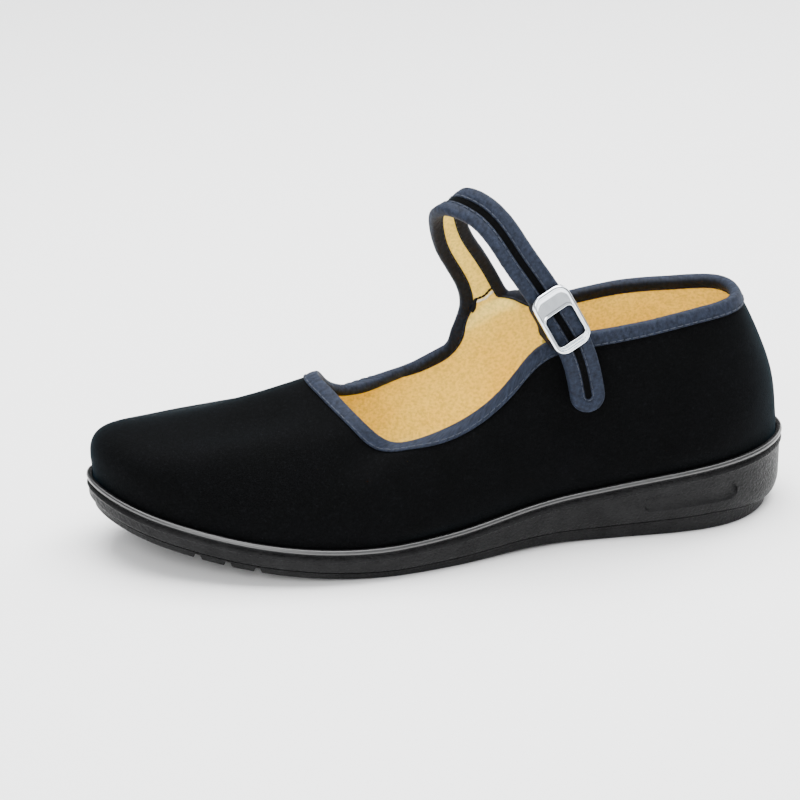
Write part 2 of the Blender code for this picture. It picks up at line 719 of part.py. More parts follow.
def tip_angles():
    return [math.pi / 2 * i / TIP_STEPS for i in range(1, TIP_STEPS)]


def make_strap(collection):
    half_thick = STRAP_THICKNESS / 2
    shares = [i / EAR_SPANS - 0.5 for i in range(EAR_SPANS + 1)]
    seam = [(edge_middle(t), surface_normal(t, float(LAST))) for t in EAR_PLACES]
    rings = [[p + half_thick * n for p, n in seam] + [p - half_thick * n for p, n in reversed(seam)]]

    def ring(length, width):
        face = [strap_point(length, share * width, half_thick) for share in shares]
        return face + [strap_point(length, share * width, -half_thick) for share in reversed(shares)]

    for length in straight_stations():
        rings.append(ring(length, STRAP_AT(length)[3]))
    for angle in tip_angles() + [math.radians(84)]:
        length = STRAP_LENGTH - TIP_RADIUS + TIP_RADIUS * math.sin(angle)
        rings.append(ring(length, 2 * TIP_RADIUS * math.cos(angle)))
    return add_object("strap", loft("strap", rings, "strip"), "velvet", collection)


def strap_border():
    """Edge points of the strap in its own plane, with the inward direction across its edge."""
    border = []
    for length in straight_stations():
        here, after = STRAP_AT(length)[3], STRAP_AT(min(STRAP_LENGTH, length + 1e-3))[3]
        slant = math.hypot(1.0, (after - here) / 2e-3)
        border.append((length, -here / 2, 0.0, slant))
    middle = STRAP_LENGTH - TIP_RADIUS
    arc = [-math.pi / 2 + angle for angle in tip_angles()] + [0.0]
    arc += [math.pi / 2 - angle for angle in reversed(tip_angles())]
    for angle in arc:
        along, aside = math.cos(angle), math.sin(angle)
        border.append((middle + TIP_RADIUS * along, TIP_RADIUS * aside, -along, -aside))
    for length, aside, _, slant in reversed(border[:STRAP_STATIONS + 1]):
        border.append((length, -aside, 0.0, -slant))
    return border


def make_strap_binding(collection):
    """Folded strip up one edge of the strap, round its tip and back down the other edge."""
    clear = STRAP_THICKNESS / 2 + GAP
    face = clear + BINDING_THICKNESS
    top = GAP + BINDING_THICKNESS
    sections = []
    for length, aside, in_along, in_aside in strap_border():
        def at(depth, lift):
            return strap_point(length + depth * in_along, aside + depth * in_aside, lift)
        sections.append([
            at(BINDING_DEPTH, face), at(-0.35 * top, 0.95 * face), at(-top, 0.35 * face),
            at(-top, -0.35 * face), at(-0.35 * top, -0.95 * face), at(BINDING_DEPTH, -face),
            at(BINDING_DEPTH, -clear), at(-GAP, -clear), at(-GAP, clear), at(BINDING_DEPTH, clear),
        ])
    return add_object("strap_binding", loft("strap_binding", sections, "flat"), "binding", collection)


def buckle_frame_axes():
    """Middle of the buckle on the strap: X across it, Y up along it and Z outwards."""
    centre, direction, across, normal, _ = strap_frame(BUCKLE_PLACE)
    rows = [(across[i], -direction[i], normal[i], centre[i]) for i in range(3)]
    return Matrix((*rows, (0.0, 0.0, 0.0, 1.0)))


def make_buckle(collection, cutters):
    """Polished slide: a rounded cover over the strap with a window, and a bar behind the strap."""
    axes = buckle_frame_axes()
    face_height = STRAP_FACE + BUCKLE_PLAY + BUCKLE_SHEET
    height = face_height + BUCKLE_SKIRT
    mesh = block("buckle", (BUCKLE_WIDTH, BUCKLE_LENGTH, height), Vector((0.0, 0.0, face_height - height / 2)),
                 BUCKLE_CORNER, 0.8 * BUCKLE_SHEET, axes)
    buckle = add_object("buckle", mesh, "metal", collection, 35.0)
    lug_height = BUCKLE_BAR_DROP + 1.6 * BUCKLE_BAR_RADIUS
    lug = BUCKLE_SHEET
    for side in (-1.0, 1.0):
        size = (lug, 5 * BUCKLE_BAR_RADIUS, lug_height)
        place = Vector((side * (BUCKLE_WIDTH - lug) / 2, -BUCKLE_BAR_PLACE, -lug_height / 2))
        name = "buckle_lug_" + ("front" if side < 0 else "rear")
        combine(buckle, name, block(name, size, place, 0.0, 0.0, axes), "UNION", cutters)
    channel = (BUCKLE_WIDTH - 2 * BUCKLE_SHEET, 1.2 * BUCKLE_LENGTH, height)
    place = Vector((0.0, 0.0, face_height - BUCKLE_SHEET - height / 2))
    hollow = block("buckle_channel", channel, place, 0.0, 0.0, axes)
    combine(buckle, "buckle_channel", hollow, "DIFFERENCE", cutters)
    window = (BUCKLE_WIDTH - 2 * BUCKLE_SIDE, BUCKLE_LENGTH - BUCKLE_PLATE - BUCKLE_BAR, 6 * BUCKLE_SHEET)
    place = Vector((0.0, (BUCKLE_BAR - BUCKLE_PLATE) / 2, face_height))
    opening = block("buckle_window", window, place, 0.3 * window[0], 0.0, axes)
    combine(buckle, "buckle_window", opening, "DIFFERENCE", cutters)
    net = bmesh.new()
    turn = Matrix.Rotation(math.pi / 2, 4, "Y")
    bmesh.ops.create_cone(net, cap_ends=True, segments=10, radius1=BUCKLE_BAR_RADIUS, radius2=BUCKLE_BAR_RADIUS,
                          depth=BUCKLE_WIDTH - BUCKLE_SHEET, matrix=turn)
    bmesh.ops.translate(net, verts=net.verts, vec=Vector((0.0, -BUCKLE_BAR_PLACE, -BUCKLE_BAR_DROP)))
    bmesh.ops.transform(net, verts=net.verts, matrix=axes)
    bar = bpy.data.meshes.new("buckle_bar")
    net.to_mesh(bar)
    net.free()
    combine(buckle, "buckle_bar", bar, "UNION", cutters)
    return buckle


def make_tab(collection):
    """Tan tab, sewn inside the outer quarter, that rises over the collar and holds the bar."""
    axes = buckle_frame_axes()
    bar = np.array(axes @ Vector((0.0, -BUCKLE_BAR_PLACE, -BUCKLE_BAR_DROP)))
    bar_axis = np.array(axes.col[0][:3])
    along, out = -np.array(axes.col[1][:3]), np.array(axes.col[2][:3])
    t = find_place(along_of(bar[0]), collar_line, HEEL_KNOT, TOE_KNOT)
    edge, normal, down = collar_frame(t)
    below = binding_v(t)
    low = surface(t, below) + (TAB_REACH - BINDING_DEPTH) * down
    inside = WALL + 2 * GAP + BINDING_THICKNESS + TAB_THICKNESS / 2
    path = [low - inside * surface_normal(t, below), surface(t, below) - inside * surface_normal(t, below)]
    path += [edge - inside * normal, edge - inside * normal - 2.5 * BINDING_THICKNESS * down]
    loop = BUCKLE_BAR_RADIUS + GAP + TAB_THICKNESS / 2
    for degrees in range(-20, 261, 35):
        angle = math.radians(degrees)
        path.append(bar - loop * (math.cos(angle) * out + math.sin(angle) * along))
    tangent = np.cross(down, normal)
    tangent *= np.sign(np.dot(tangent, bar_axis))
    rings = []
    for i, point in enumerate(path):
        step = path[min(i + 1, len(path) - 1)] - path[max(i - 1, 0)]
        share = min(1.0, max(0.0, (i - 2) / 2.0))
        wide = tangent * (1.0 - share) + bar_axis * share
        wide /= np.linalg.norm(wide)
        thick = np.cross(wide, step)
        thick /= np.linalg.norm(thick)
        half_wide, half_thick = wide * TAB_WIDTH / 2, thick * TAB_THICKNESS / 2
        rings.append([point + half_wide + half_thick, point - half_wide + half_thick,
                      point - half_wide - half_thick, point + half_wide - half_thick])
    return add_object("buckle_tab", loft("buckle_tab", rings, "flat"), "lining", collection)


def main():
    for old in list(bpy.data.objects):
        bpy.data.objects.remove(old)
    collection = bpy.data.collections.new("chinese_cloth_shoe")
    cutters = bpy.data.collections.new("cutters")
    for group in (collection, cutters):
        bpy.context.scene.collection.children.link(group)
    make_outsole(collection, cutters)
    make_insole(collection)
    make_upper(collection)
    make_collar_binding(collection)
    make_strap(collection)
    make_strap_binding(collection)
    make_buckle(collection, cutters)
    make_tab(collection)


main()
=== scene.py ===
import functools
import math

import bmesh
import bpy
import numpy as np
from mathutils import Matrix, Vector


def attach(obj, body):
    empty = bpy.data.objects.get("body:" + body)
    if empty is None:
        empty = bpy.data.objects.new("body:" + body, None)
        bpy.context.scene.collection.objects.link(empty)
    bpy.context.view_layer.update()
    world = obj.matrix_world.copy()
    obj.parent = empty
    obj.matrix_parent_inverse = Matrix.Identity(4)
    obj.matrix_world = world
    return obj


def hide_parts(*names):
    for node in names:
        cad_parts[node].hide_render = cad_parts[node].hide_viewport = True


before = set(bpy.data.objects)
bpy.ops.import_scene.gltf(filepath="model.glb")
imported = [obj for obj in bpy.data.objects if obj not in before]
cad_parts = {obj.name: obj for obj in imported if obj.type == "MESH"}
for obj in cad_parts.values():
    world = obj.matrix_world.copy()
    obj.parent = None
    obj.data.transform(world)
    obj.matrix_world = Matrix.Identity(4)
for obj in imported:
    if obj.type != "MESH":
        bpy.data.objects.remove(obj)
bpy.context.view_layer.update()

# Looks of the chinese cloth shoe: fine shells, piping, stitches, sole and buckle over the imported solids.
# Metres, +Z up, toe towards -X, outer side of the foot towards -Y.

# Driving sizes, the same as the solids'
SOLE_LENGTH = 0.256
BALL_WIDTH = 0.0866
HEEL_HEIGHT = 0.0285
COLLAR_HEIGHT = 0.082
TOE_SPRING = 0.016
WAIST_LIFT = 0.0008
WALL = 0.0022
GAP = 0.0003

# Sole
RIM_STEP = 0.0024
CUP_DEPTH = 0.0045
BEAD_HEIGHT = 0.0024
GROOVE_DEPTH = 0.0007
LEDGE_DROP = 0.0043
TREAD_HEEL = 0.0072
TREAD_FOREFOOT = 0.0028
TREAD_INSET = 0.0027
TREAD_BEVEL = 0.0009
HEEL_UNDERCUT = 0.0028
WALL_TURN = 0.62              # share of the way down its side at which the sole turns in
WALL_LEAN = 0.04              # share of the side's lean that it has there
WALL_TOP = LEDGE_DROP + 0.4 * BEAD_HEIGHT
TREAD_PITCH = 0.0099
TREAD_GROOVE_WIDTH = 0.0026
TREAD_GROOVE_DEPTH = 0.0018
TREAD_GROOVES = 3
TREAD_FIRST = 0.873
PANEL_FROM = 0.096
PANEL_TO = 0.238
PANEL_DROP = 0.0129
PANEL_DROP_FRONT = 0.0102
PANEL_HEIGHT = 0.0062
PANEL_DEPTH = 0.0007
PANEL_SLOPE = 0.0009
INSOLE_THICKNESS = 0.0022

# Binding, strap and buckle
BINDING_DEPTH = 0.0041
BINDING_THICKNESS = 0.0008
STRAP_THICKNESS = 0.0022
STRAP_WIDTH = 0.0096
BUCKLE_LENGTH = 0.0240
BUCKLE_PLATE = 0.0086
BUCKLE_BAR = 0.0034
BUCKLE_SIDE = 0.0019
BUCKLE_SHEET = 0.0009
BUCKLE_BAR_RADIUS = 0.0007
BUCKLE_CORNER = 0.0048
BUCKLE_SKIRT = 0.0012
BUCKLE_PLAY = 0.0010
BUCKLE_SIDE_PLAY = 0.0007
BUCKLE_BAR_PLAY = 0.0004
BUCKLE_BAR_PLACE = 0.0030
BUCKLE_TURN_DEG = 8.0         # how far the buckle leans towards the heel on the strap
BUCKLE_SWING_DEG = -3.0       # its turn in the plane of the strap
TAB_WIDTH = 0.0096
TAB_THICKNESS = 0.0008
TAB_REACH = 0.0100
STRAP_FACE = STRAP_THICKNESS / 2 + GAP + BINDING_THICKNESS
BUCKLE_WIDTH = STRAP_WIDTH + 2 * (GAP + BINDING_THICKNESS + BUCKLE_SIDE_PLAY + BUCKLE_SHEET)
BUCKLE_BAR_DROP = STRAP_FACE + 2 * GAP + TAB_THICKNESS + BUCKLE_BAR_RADIUS + BUCKLE_BAR_PLAY
EAR_FRONT = 0.455
EAR_REAR = 0.338

# Layers and fine detail
VELVET_SHARE = 0.5            # of the wall, the rest is lining
LAYER_GAP = 0.00005
INNER_LEG = 0.0032            # depth of the piping's leg inside the shoe
STRAP_LEG = 0.0036            # depth of the leg on the strap's face
HUG = 0.0001                  # between the piping's legs and what they clasp
ROUND_COUNT = 640             # sections round the foot
SHELL_ROWS = 44
STITCH_LENGTH = 0.0024
STITCH_PITCH = 0.0029
STITCH_RADIUS = 0.00017
CORNER_SHIFT = 0.002          # from the ray "throat_outer" back to the corner of the throat
CORNER_REACH = 0.008          # of that corner along the collar, where the piping is narrower
CORNER_NARROWING = 0.22       # share of the piping's depth that it loses there
FULLNESS = 0.035              # unevenness of the piping's roll
HEEL_BACK = 0.12              # share of SOLE_LENGTH that is the back of the heel

# Rays, from the back of the heel along the outer side to the toe and back along the inner side.
# along and across are shares of SOLE_LENGTH and of half BALL_WIDTH, collar_z of COLLAR_HEIGHT.
#    name                 rim_along rim_across  collar_along collar_across collar_z  profile
RAYS = (
    ("heel_back",          0.000,    0.040,      0.074,       0.050,        1.000,  "heel"),
    ("heel_corner_outer",  0.036,   -0.416,      0.090,      -0.242,        0.998,  "heel"),
    ("heel_side_outer",    0.128,   -0.688,      0.156,      -0.395,        0.984,  "quarter"),
    ("heel_front_outer",   0.242,   -0.707,      0.242,      -0.474,        0.958,  "quarter"),
    ("waist_outer",        0.343,   -0.704,      0.324,      -0.527,        0.945,  "quarter"),
    ("waist_front_outer",  0.421,   -0.785,      0.388,      -0.577,        0.908,  "quarter"),
    ("ball_back_outer",    0.499,   -0.896,      0.435,      -0.591,        0.761,  "quarter"),
    ("ball_outer",         0.585,   -0.984,      0.488,      -0.600,        0.631,  "quarter"),
    ("ball_front_outer",   0.663,   -1.000,      0.550,      -0.617,        0.560,  "vamp"),
    ("throat_outer",       0.733,   -0.961,      0.599,      -0.600,        0.543,  "vamp"),
    ("toe_side_outer",     0.808,   -0.850,      0.632,      -0.547,        0.614,  "vamp"),
    ("toe_corner_outer",   0.884,   -0.647,      0.655,      -0.370,        0.681,  "toe_corner"),
    ("toe_front_outer",    0.958,   -0.312,      0.672,      -0.139,        0.727,  "toe"),
    ("toe_tip",            1.000,    0.277,      0.680,       0.104,        0.740,  "toe"),
    ("toe_front_inner",    0.972,    0.624,      0.669,       0.335,        0.697,  "toe"),
    ("toe_corner_inner",   0.900,    0.859,      0.652,       0.497,        0.621,  "toe_corner"),
    ("toe_side_inner",     0.808,    0.977,      0.624,       0.630,        0.558,  "vamp"),
    ("throat_inner",       0.718,    1.000,      0.585,       0.693,        0.548,  "vamp"),
    ("ball_inner",         0.632,    0.961,      0.538,       0.707,        0.589,  "vamp"),
    ("ball_back_inner",    0.546,    0.868,      0.488,       0.702,        0.655,  "quarter"),
    ("waist_front_inner",  0.468,    0.762,      0.445,       0.663,        0.730,  "quarter"),
    ("waist_inner",        0.382,    0.716,      0.375,       0.624,        0.846,  "quarter"),
    ("heel_front_inner",   0.289,    0.727,      0.297,       0.600,        0.910,  "quarter"),
    ("heel_mid_inner",     0.211,    0.739,      0.218,       0.566,        0.951,  "quarter"),
    ("heel_side_inner",    0.120,    0.704,      0.148,       0.462,        0.973,  "quarter"),
    ("heel_corner_inner",  0.036,    0.473,      0.090,       0.300,        0.994,  "heel"),
)
RIM_ALONG, RIM_ACROSS, COLLAR_ALONG, COLLAR_ACROSS, COLLAR_Z, PROFILE = range(1, 7)

# Levels of the upper between rim and collar.  lean is the share of the way in plan, rise the share
# of the way up, and bulge a share of RIM_STEP, outwards.
#              lean    rise  bulge
PROFILES = {
    "heel": ((0.03, 0.12, 0.05), (0.14, 0.37, 0.10), (0.42, 0.63, 0.10), (0.75, 0.86, 0.05)),
    "quarter": ((0.00, 0.12, 0.90), (0.12, 0.38, 0.90), (0.42, 0.66, 0.50), (0.75, 0.87, 0.15)),
    "vamp": ((0.02, 0.20, 0.40), (0.10, 0.43, 0.50), (0.33, 0.69, 0.45), (0.68, 0.92, 0.12)),
    "toe_corner": ((0.00, 0.23, 0.20), (0.05, 0.46, 0.20), (0.23, 0.66, 0.15), (0.62, 0.84, 0.05)),
    "toe": ((-0.01, 0.26, 0.00), (0.02, 0.45, 0.00), (0.14, 0.56, 0.00), (0.52, 0.69, 0.00)),
}

# Height of the rim above the tread's own line, as shares of HEEL_HEIGHT
#               along  height
RIM_HEIGHTS = ((0.00, 1.000), (0.10, 0.947), (0.20, 0.860), (0.35, 0.684), (0.50, 0.526),
               (0.62, 0.449), (0.80, 0.421), (1.00, 0.421))

# Centre line of the strap above its seam, from the inner side over the foot to the tip.
#    name             along    across  height  width  tilt_deg
STRAP = (
    ("ear_low",       0.409,   0.672,  0.872,  1.99,  31.0),
    ("ear_high",      0.415,   0.666,  0.932,  1.52,  30.0),
    ("leg_low",       0.424,   0.645,  1.005,  1.33,  28.0),
    ("leg_middle",    0.442,   0.582,  1.108,  1.26,  26.0),
    ("leg_high",      0.466,   0.464,  1.234,  1.20,  27.0),
    ("bend_inner",    0.483,   0.305,  1.370,  1.12,  29.0),
    ("top_inner",     0.490,   0.120,  1.468,  1.05,  31.0),
    ("top_middle",    0.482,  -0.060,  1.517,  1.00,  31.0),
    ("top_outer",     0.459,  -0.225,  1.501,  1.00,  31.0),
    ("bend_outer",    0.436,  -0.390,  1.427,  1.00,  29.0),
    ("fall_high",     0.415,  -0.525,  1.318,  1.00,  26.0),
    ("fall_low",      0.394,  -0.600,  1.218,  1.00,  23.0),
    ("buckle_in",     0.3735, -0.630,  1.110,  1.00,  20.0),
    ("buckle_out",    0.348,  -0.662,  0.971,  1.00,  17.0),
    ("end_high",      0.3315, -0.670,  0.834,  1.00,  12.0),
    ("end_low",       0.325,  -0.692,  0.722,  1.00,   8.0),
    ("tip",           0.322,  -0.716,  0.655,  1.00,   7.0),
)

# Soft hollows and swells of the velvet.  along, across and height are the middle and
# reach_* the half sizes, as shares of SOLE_LENGTH, half BALL_WIDTH and COLLAR_HEIGHT; rise in metres.
#    name                   along  across height  reach_along reach_across reach_height  rise
SOFT_FORMS = (
    ("vamp_break_outer",    0.745, -0.62,  0.42,   0.022,      0.50,        0.22,       -0.00040),
    ("vamp_break_inner",    0.735,  0.70,  0.42,   0.022,      0.45,        0.20,       -0.00035),
    ("vamp_swell_outer",    0.800, -0.45,  0.45,   0.045,      0.50,        0.25,        0.00030),
    ("toe_dent",            0.905,  0.30,  0.52,   0.030,      0.60,        0.18,       -0.00025),
    ("quarter_hollow",      0.405, -0.72,  0.62,   0.060,      0.50,        0.16,       -0.00055),
    ("quarter_swell",       0.270, -0.68,  0.55,   0.075,      0.50,        0.20,        0.00035),
    ("heel_dimple_outer",   0.110, -0.55,  0.66,   0.040,      0.50,        0.16,       -0.00040),
    ("quarter_inner",       0.370,  0.70,  0.60,   0.070,      0.50,        0.18,       -0.00050),
    ("heel_dimple_inner",   0.110,  0.60,  0.66,   0.040,      0.50,        0.16,       -0.00040),
)


def spline(knots, values, period=None):
    """Cubic spline through the rows of values, closed when a period is given."""
    knots = np.asarray(knots, float)
    values = np.asarray(values, float)
    count = len(knots)
    ends = np.append(knots, knots[0] + period) if period else knots
    nodes = np.vstack([values, values[:1]]) if period else values
    steps = np.diff(ends)
    slopes = np.diff(nodes, axis=0) / steps[:, None]
    system = np.zeros((count, count))
    right = np.zeros_like(values)
    for i in range(count):
        if not period and i in (0, count - 1):
            system[i, i] = 1.0
            continue
        before, after = steps[i - 1], steps[i]
        system[i, i - 1] += before / 6.0
        system[i, i] += (before + after) / 3.0
        system[i, (i + 1) % count] += after / 6.0
        right[i] = slopes[i] - slopes[i - 1]
    bends = np.linalg.solve(system, right)
    if period:
        bends = np.vstack([bends, bends[:1]])

    def at(t):
        if period:
            t = knots[0] + (t - knots[0]) % period
        i = int(min(max(np.searchsorted(ends, t, side="right") - 1, 0), len(steps) - 1))
        width = steps[i]
        b = (t - ends[i]) / width
        a = 1.0 - b
        curve = ((a ** 3 - a) * bends[i] + (b ** 3 - b) * bends[i + 1]) * width ** 2 / 6.0
        return a * nodes[i] + b * nodes[i + 1] + curve

    return at


def unit(vector):
    return vector / np.linalg.norm(vector)


def halved(low, high, is_low, rounds):
    """Place between low and high up to which is_low holds, by halving."""
    for _ in range(rounds):
        middle = (low + high) / 2
        if is_low(middle):
            low = middle
        else:
            high = middle
    return (low + high) / 2


def row_of(table, name):
    return [row[0] for row in table].index(name)


def rounding(degrees):
    """Shares 1 - cos and 1 - sin of a rounded edge's radius, at each of these angles of its turn."""
    return [(1 - math.cos(math.radians(turn)), 1 - math.sin(math.radians(turn))) for turn in degrees]


def smooth(low, high, value):
    """Smooth step from 0 at low to 1 at high, either of which may be the greater."""
    share = min(1.0, max(0.0, (value - low) / (high - low)))
    return share * share * (3.0 - 2.0 * share)


def station_x(along):
    return SOLE_LENGTH * (0.5 - along)


def along_of(x):
    return 0.5 - x / SOLE_LENGTH


def tread_line(x):
    """Height of the tread above the floor: toe spring, and the arch at the waist."""
    onset, steepness, waist_from, waist_to = 0.60, 1.8, 0.28, 0.52
    along = along_of(x)
    spring = TOE_SPRING * (max(0.0, along - onset) / (1.0 - onset)) ** steepness
    share = min(1.0, max(0.0, (along - waist_from) / (waist_to - waist_from)))
    return spring + WAIST_LIFT * math.sin(math.pi * share) ** 2


rim_height = spline([row[0] for row in RIM_HEIGHTS], [[row[1]] for row in RIM_HEIGHTS])


def rim_z(x):
    along = min(1.0, max(0.0, along_of(x)))
    return tread_line(x) + HEEL_HEIGHT * rim_height(along)[0]


def tread_height(x):
    """Height of the tread block: the forefoot's thin sheet, the heel's block, and less at its back."""
    thin_from, taper, back_reach, back_loss = 0.60, 0.55, 0.14, 0.60
    along = along_of(x)
    share = min(1.0, max(0.0, (thin_from - along) / taper))
    low_back = 1.0 - back_loss * smooth(back_reach, 0.0, along)
    return (TREAD_FOREFOOT + (TREAD_HEEL - TREAD_FOREFOOT) * share) * low_back


def ray_points():
    """Rim and collar points of each ray, and the knots that space the rays out."""
    half = BALL_WIDTH / 2
    rims, collars = [], []
    for row in RAYS:
        rims.append((station_x(row[RIM_ALONG]), half * row[RIM_ACROSS]))
        x, y = station_x(row[COLLAR_ALONG]), half * row[COLLAR_ACROSS]
        collars.append((x, y, COLLAR_HEIGHT * row[COLLAR_Z]))
    rims, collars = np.array(rims), np.array(collars)
    chords = [
        (np.linalg.norm(rims[i] - rims[i - 1]) + np.linalg.norm(collars[i] - collars[i - 1])) / 2
        for i in range(len(RAYS))
    ]
    knots = np.cumsum([0.0] + chords[1:])
    return rims, collars, knots, knots[-1] + chords[0]


RIM_POINTS, COLLAR_POINTS, KNOTS, ROUND = ray_points()
rim_outline = spline(KNOTS, RIM_POINTS, ROUND)
collar_line = spline(KNOTS, COLLAR_POINTS, ROUND)
HEEL_KNOT = KNOTS[0]
TOE_KNOT = KNOTS[row_of(RAYS, "toe_tip")]
THROAT_CORNER = KNOTS[row_of(RAYS, "throat_outer")] - CORNER_SHIFT
AROUND = [ROUND * i / ROUND_COUNT for i in range(ROUND_COUNT)]


@functools.lru_cache(maxsize=None)
def outward(t):
    """Plan normal of the rim, away from the foot.  The rays run clockwise, seen from above."""
    step = ROUND * 1e-4
    tangent = rim_outline(t + step) - rim_outline(t - step)
    return np.array([-tangent[1], tangent[0]]) / np.linalg.norm(tangent)


def outline(t, inset, z):
    """Point of the rim outline moved inwards by inset, at height z."""
    point = rim_outline(t) - inset * outward(t)
    return np.array([point[0], point[1], z])


def feather(t):
    point = outline(t, RIM_STEP, 0.0)
    point[2] = rim_z(point[0])
    return point


def level_points():
    """Position of each level of the upper on each ray, rim and collar included."""
    levels = [[] for _ in range(6)]
    for row, t in zip(RAYS, KNOTS):
        low, high, away = feather(t), collar_line(t), np.append(outward(t), 0.0)
        levels[0].append(low)
        for level, (lean, rise, bulge) in enumerate(PROFILES[row[PROFILE]], 1):
            share = np.array([lean, lean, rise])
            levels[level].append(low + share * (high - low) + bulge * RIM_STEP * away)
        levels[5].append(high)
    return [spline(KNOTS, points, ROUND) for points in levels]


LEVELS = level_points()
LAST = len(LEVELS) - 1


@functools.lru_cache(maxsize=None)
def rib(t):
    """Curve of the upper over one section, with v from 0 at the rim to LAST at the collar."""
    low = feather(t)
    foot = low - np.array([0.0, 0.0, CUP_DEPTH])
    points = [foot, low] + [level(t) for level in LEVELS[1:]]
    knots = np.cumsum([0.0] + [math.sqrt(np.linalg.norm(b - a)) for a, b in zip(points, points[1:])])
    curve = spline(knots, points)

    def at(v):
        whole = min(LAST - 1, int(v))
        return curve(knots[whole + 1] + (v - whole) * (knots[whole + 2] - knots[whole + 1]))

    return at


@functools.lru_cache(maxsize=None)
def surface(t, v):
    return rib(t)(v)


@functools.lru_cache(maxsize=None)
def surface_normal(t, v):
    """Outward normal of the upper."""
    dt, dv = ROUND * 1e-3, 1e-2
    before, here, after = rib(t - dt), rib(t), rib(t + dt)
    low, high = max(0.0, v - dv), min(float(LAST), v + dv)
    return unit(np.cross(here(high) - here(low), after(v) - before(v)))


def find_place(along, line, from_knot, to_knot):
    """Parameter between two knots at which a line round the foot reaches a station."""
    target = station_x(along)
    rising = line(to_knot)[0] > line(from_knot)[0]
    return halved(from_knot, to_knot, lambda t: (line(t)[0] < target) == rising, 50)


EAR_FRONT_PLACE = find_place(EAR_FRONT, collar_line, ROUND, TOE_KNOT)
EAR_REAR_PLACE = find_place(EAR_REAR, collar_line, ROUND, TOE_KNOT)


@functools.lru_cache(maxsize=None)
def collar_tangent(t):
    step = ROUND * 1e-3
    return unit(collar_line(t + step) - collar_line(t - step))


@functools.lru_cache(maxsize=None)
def straight_below(t):
    """Level of the upper that lies BINDING_DEPTH straight below the collar."""
    curve = rib(t)
    top = curve(float(LAST))
    ray = unit(curve(LAST - 0.1) - top)
    reach = BINDING_DEPTH / max(0.4, np.linalg.norm(np.cross(ray, collar_tangent(t))))
    return halved(LAST - 1.45, float(LAST), lambda v: np.linalg.norm(curve(v) - top) > reach, 30)


@functools.lru_cache(maxsize=None)
def binding_v(t):
    """Level of the lower edge of the binding, evened out, and higher at the throat's outer corner."""
    window = [t + 0.0010 * i for i in range(-5, 6)]
    even = sum(straight_below(place) for place in window) / len(window)
    near_corner = math.exp(-((t % ROUND - THROAT_CORNER) / CORNER_REACH) ** 2)
    return LAST - (LAST - even) * (1.0 - CORNER_NARROWING * near_corner)


def collar_frame(t):
    """Edge point, outward normal and the direction down the upper, across the collar's edge."""
    normal = surface_normal(t, float(LAST))
    down = unit(np.cross(normal, collar_tangent(t)))
    if np.dot(down, surface(t, LAST - 0.3) - collar_line(t)) < 0:
        down = -down
    return collar_line(t), normal, down


def edge_middle(t):
    """Middle of the upper's wall at the collar."""
    edge, normal, _ = collar_frame(t)
    return edge - 0.5 * WALL * normal


def strap_curve():
    """Centre, width and tilt of the strap over its length, from the seam on the collar."""
    half = BALL_WIDTH / 2
    ends = [edge_middle(place) - GAP * collar_frame(place)[2] for place in (EAR_FRONT_PLACE, EAR_REAR_PLACE)]
    span = ends[1] - ends[0]
    base = (ends[0] + ends[1]) / 2
    values = [(*base, np.linalg.norm(span), math.atan2(span[2], span[0]))]
    for _, along, across, height, width, tilt in STRAP:
        centre = (station_x(along), half * across, COLLAR_HEIGHT * height)
        values.append((*centre, STRAP_WIDTH * width, math.radians(tilt)))
    values = np.array(values)
    knots = np.cumsum([0.0] + [np.linalg.norm(b[:3] - a[:3]) for a, b in zip(values, values[1:])])
    return spline(knots, values), knots


STRAP_AT, STRAP_KNOTS = strap_curve()
STRAP_LENGTH = STRAP_KNOTS[-1]
TIP_RADIUS = STRAP_WIDTH / 2
EAR_BLEND = 0.0095            # length over which the strap grows out of the upper's own surface
BUCKLE_PAST = 0.17            # of its length, from the station "buckle_in" to the buckle's middle
BUCKLE_PLACE = STRAP_KNOTS[row_of(STRAP, "buckle_in") + 1] + BUCKLE_PAST * BUCKLE_LENGTH


@functools.lru_cache(maxsize=None)
def strap_frame(length):
    """Centre, direction, width direction from front to rear, outward normal and width."""
    step = 2e-4
    inside = min(length, STRAP_LENGTH - step)
    value = STRAP_AT(inside)
    direction = unit(STRAP_AT(inside + step)[:3] - STRAP_AT(max(0.0, inside - step))[:3])
    centre = value[:3] + (length - inside) * direction
    across = np.array([math.cos(value[4]), 0.0, math.sin(value[4])])
    across = unit(across - direction * np.dot(across, direction))
    return centre, direction, across, np.cross(direction, across), value[3]


@functools.lru_cache(maxsize=None)
def strap_point(length, aside):
    """Point of the strap's middle sheet, which grows smoothly out of the upper at its seam."""
    centre, _, across, _, width = strap_frame(length)
    flat = centre + aside * across
    if length >= EAR_BLEND:
        return flat
    share = aside / width + 0.5
    t = EAR_FRONT_PLACE + (EAR_REAR_PLACE - EAR_FRONT_PLACE) * share
    grown = edge_middle(t) - length * collar_frame(t)[2]
    return grown + smooth(0.0, EAR_BLEND, length) * (flat - grown)


@functools.lru_cache(maxsize=None)
def strap_normal(length, aside):
    step = 3e-4
    low = max(0.0, length - step)
    lengthwise = strap_point(length + step, aside) - strap_point(low, aside)
    sideways = strap_point(length, aside + step) - strap_point(length, aside - step)
    return unit(np.cross(lengthwise, sideways))


# Meshes

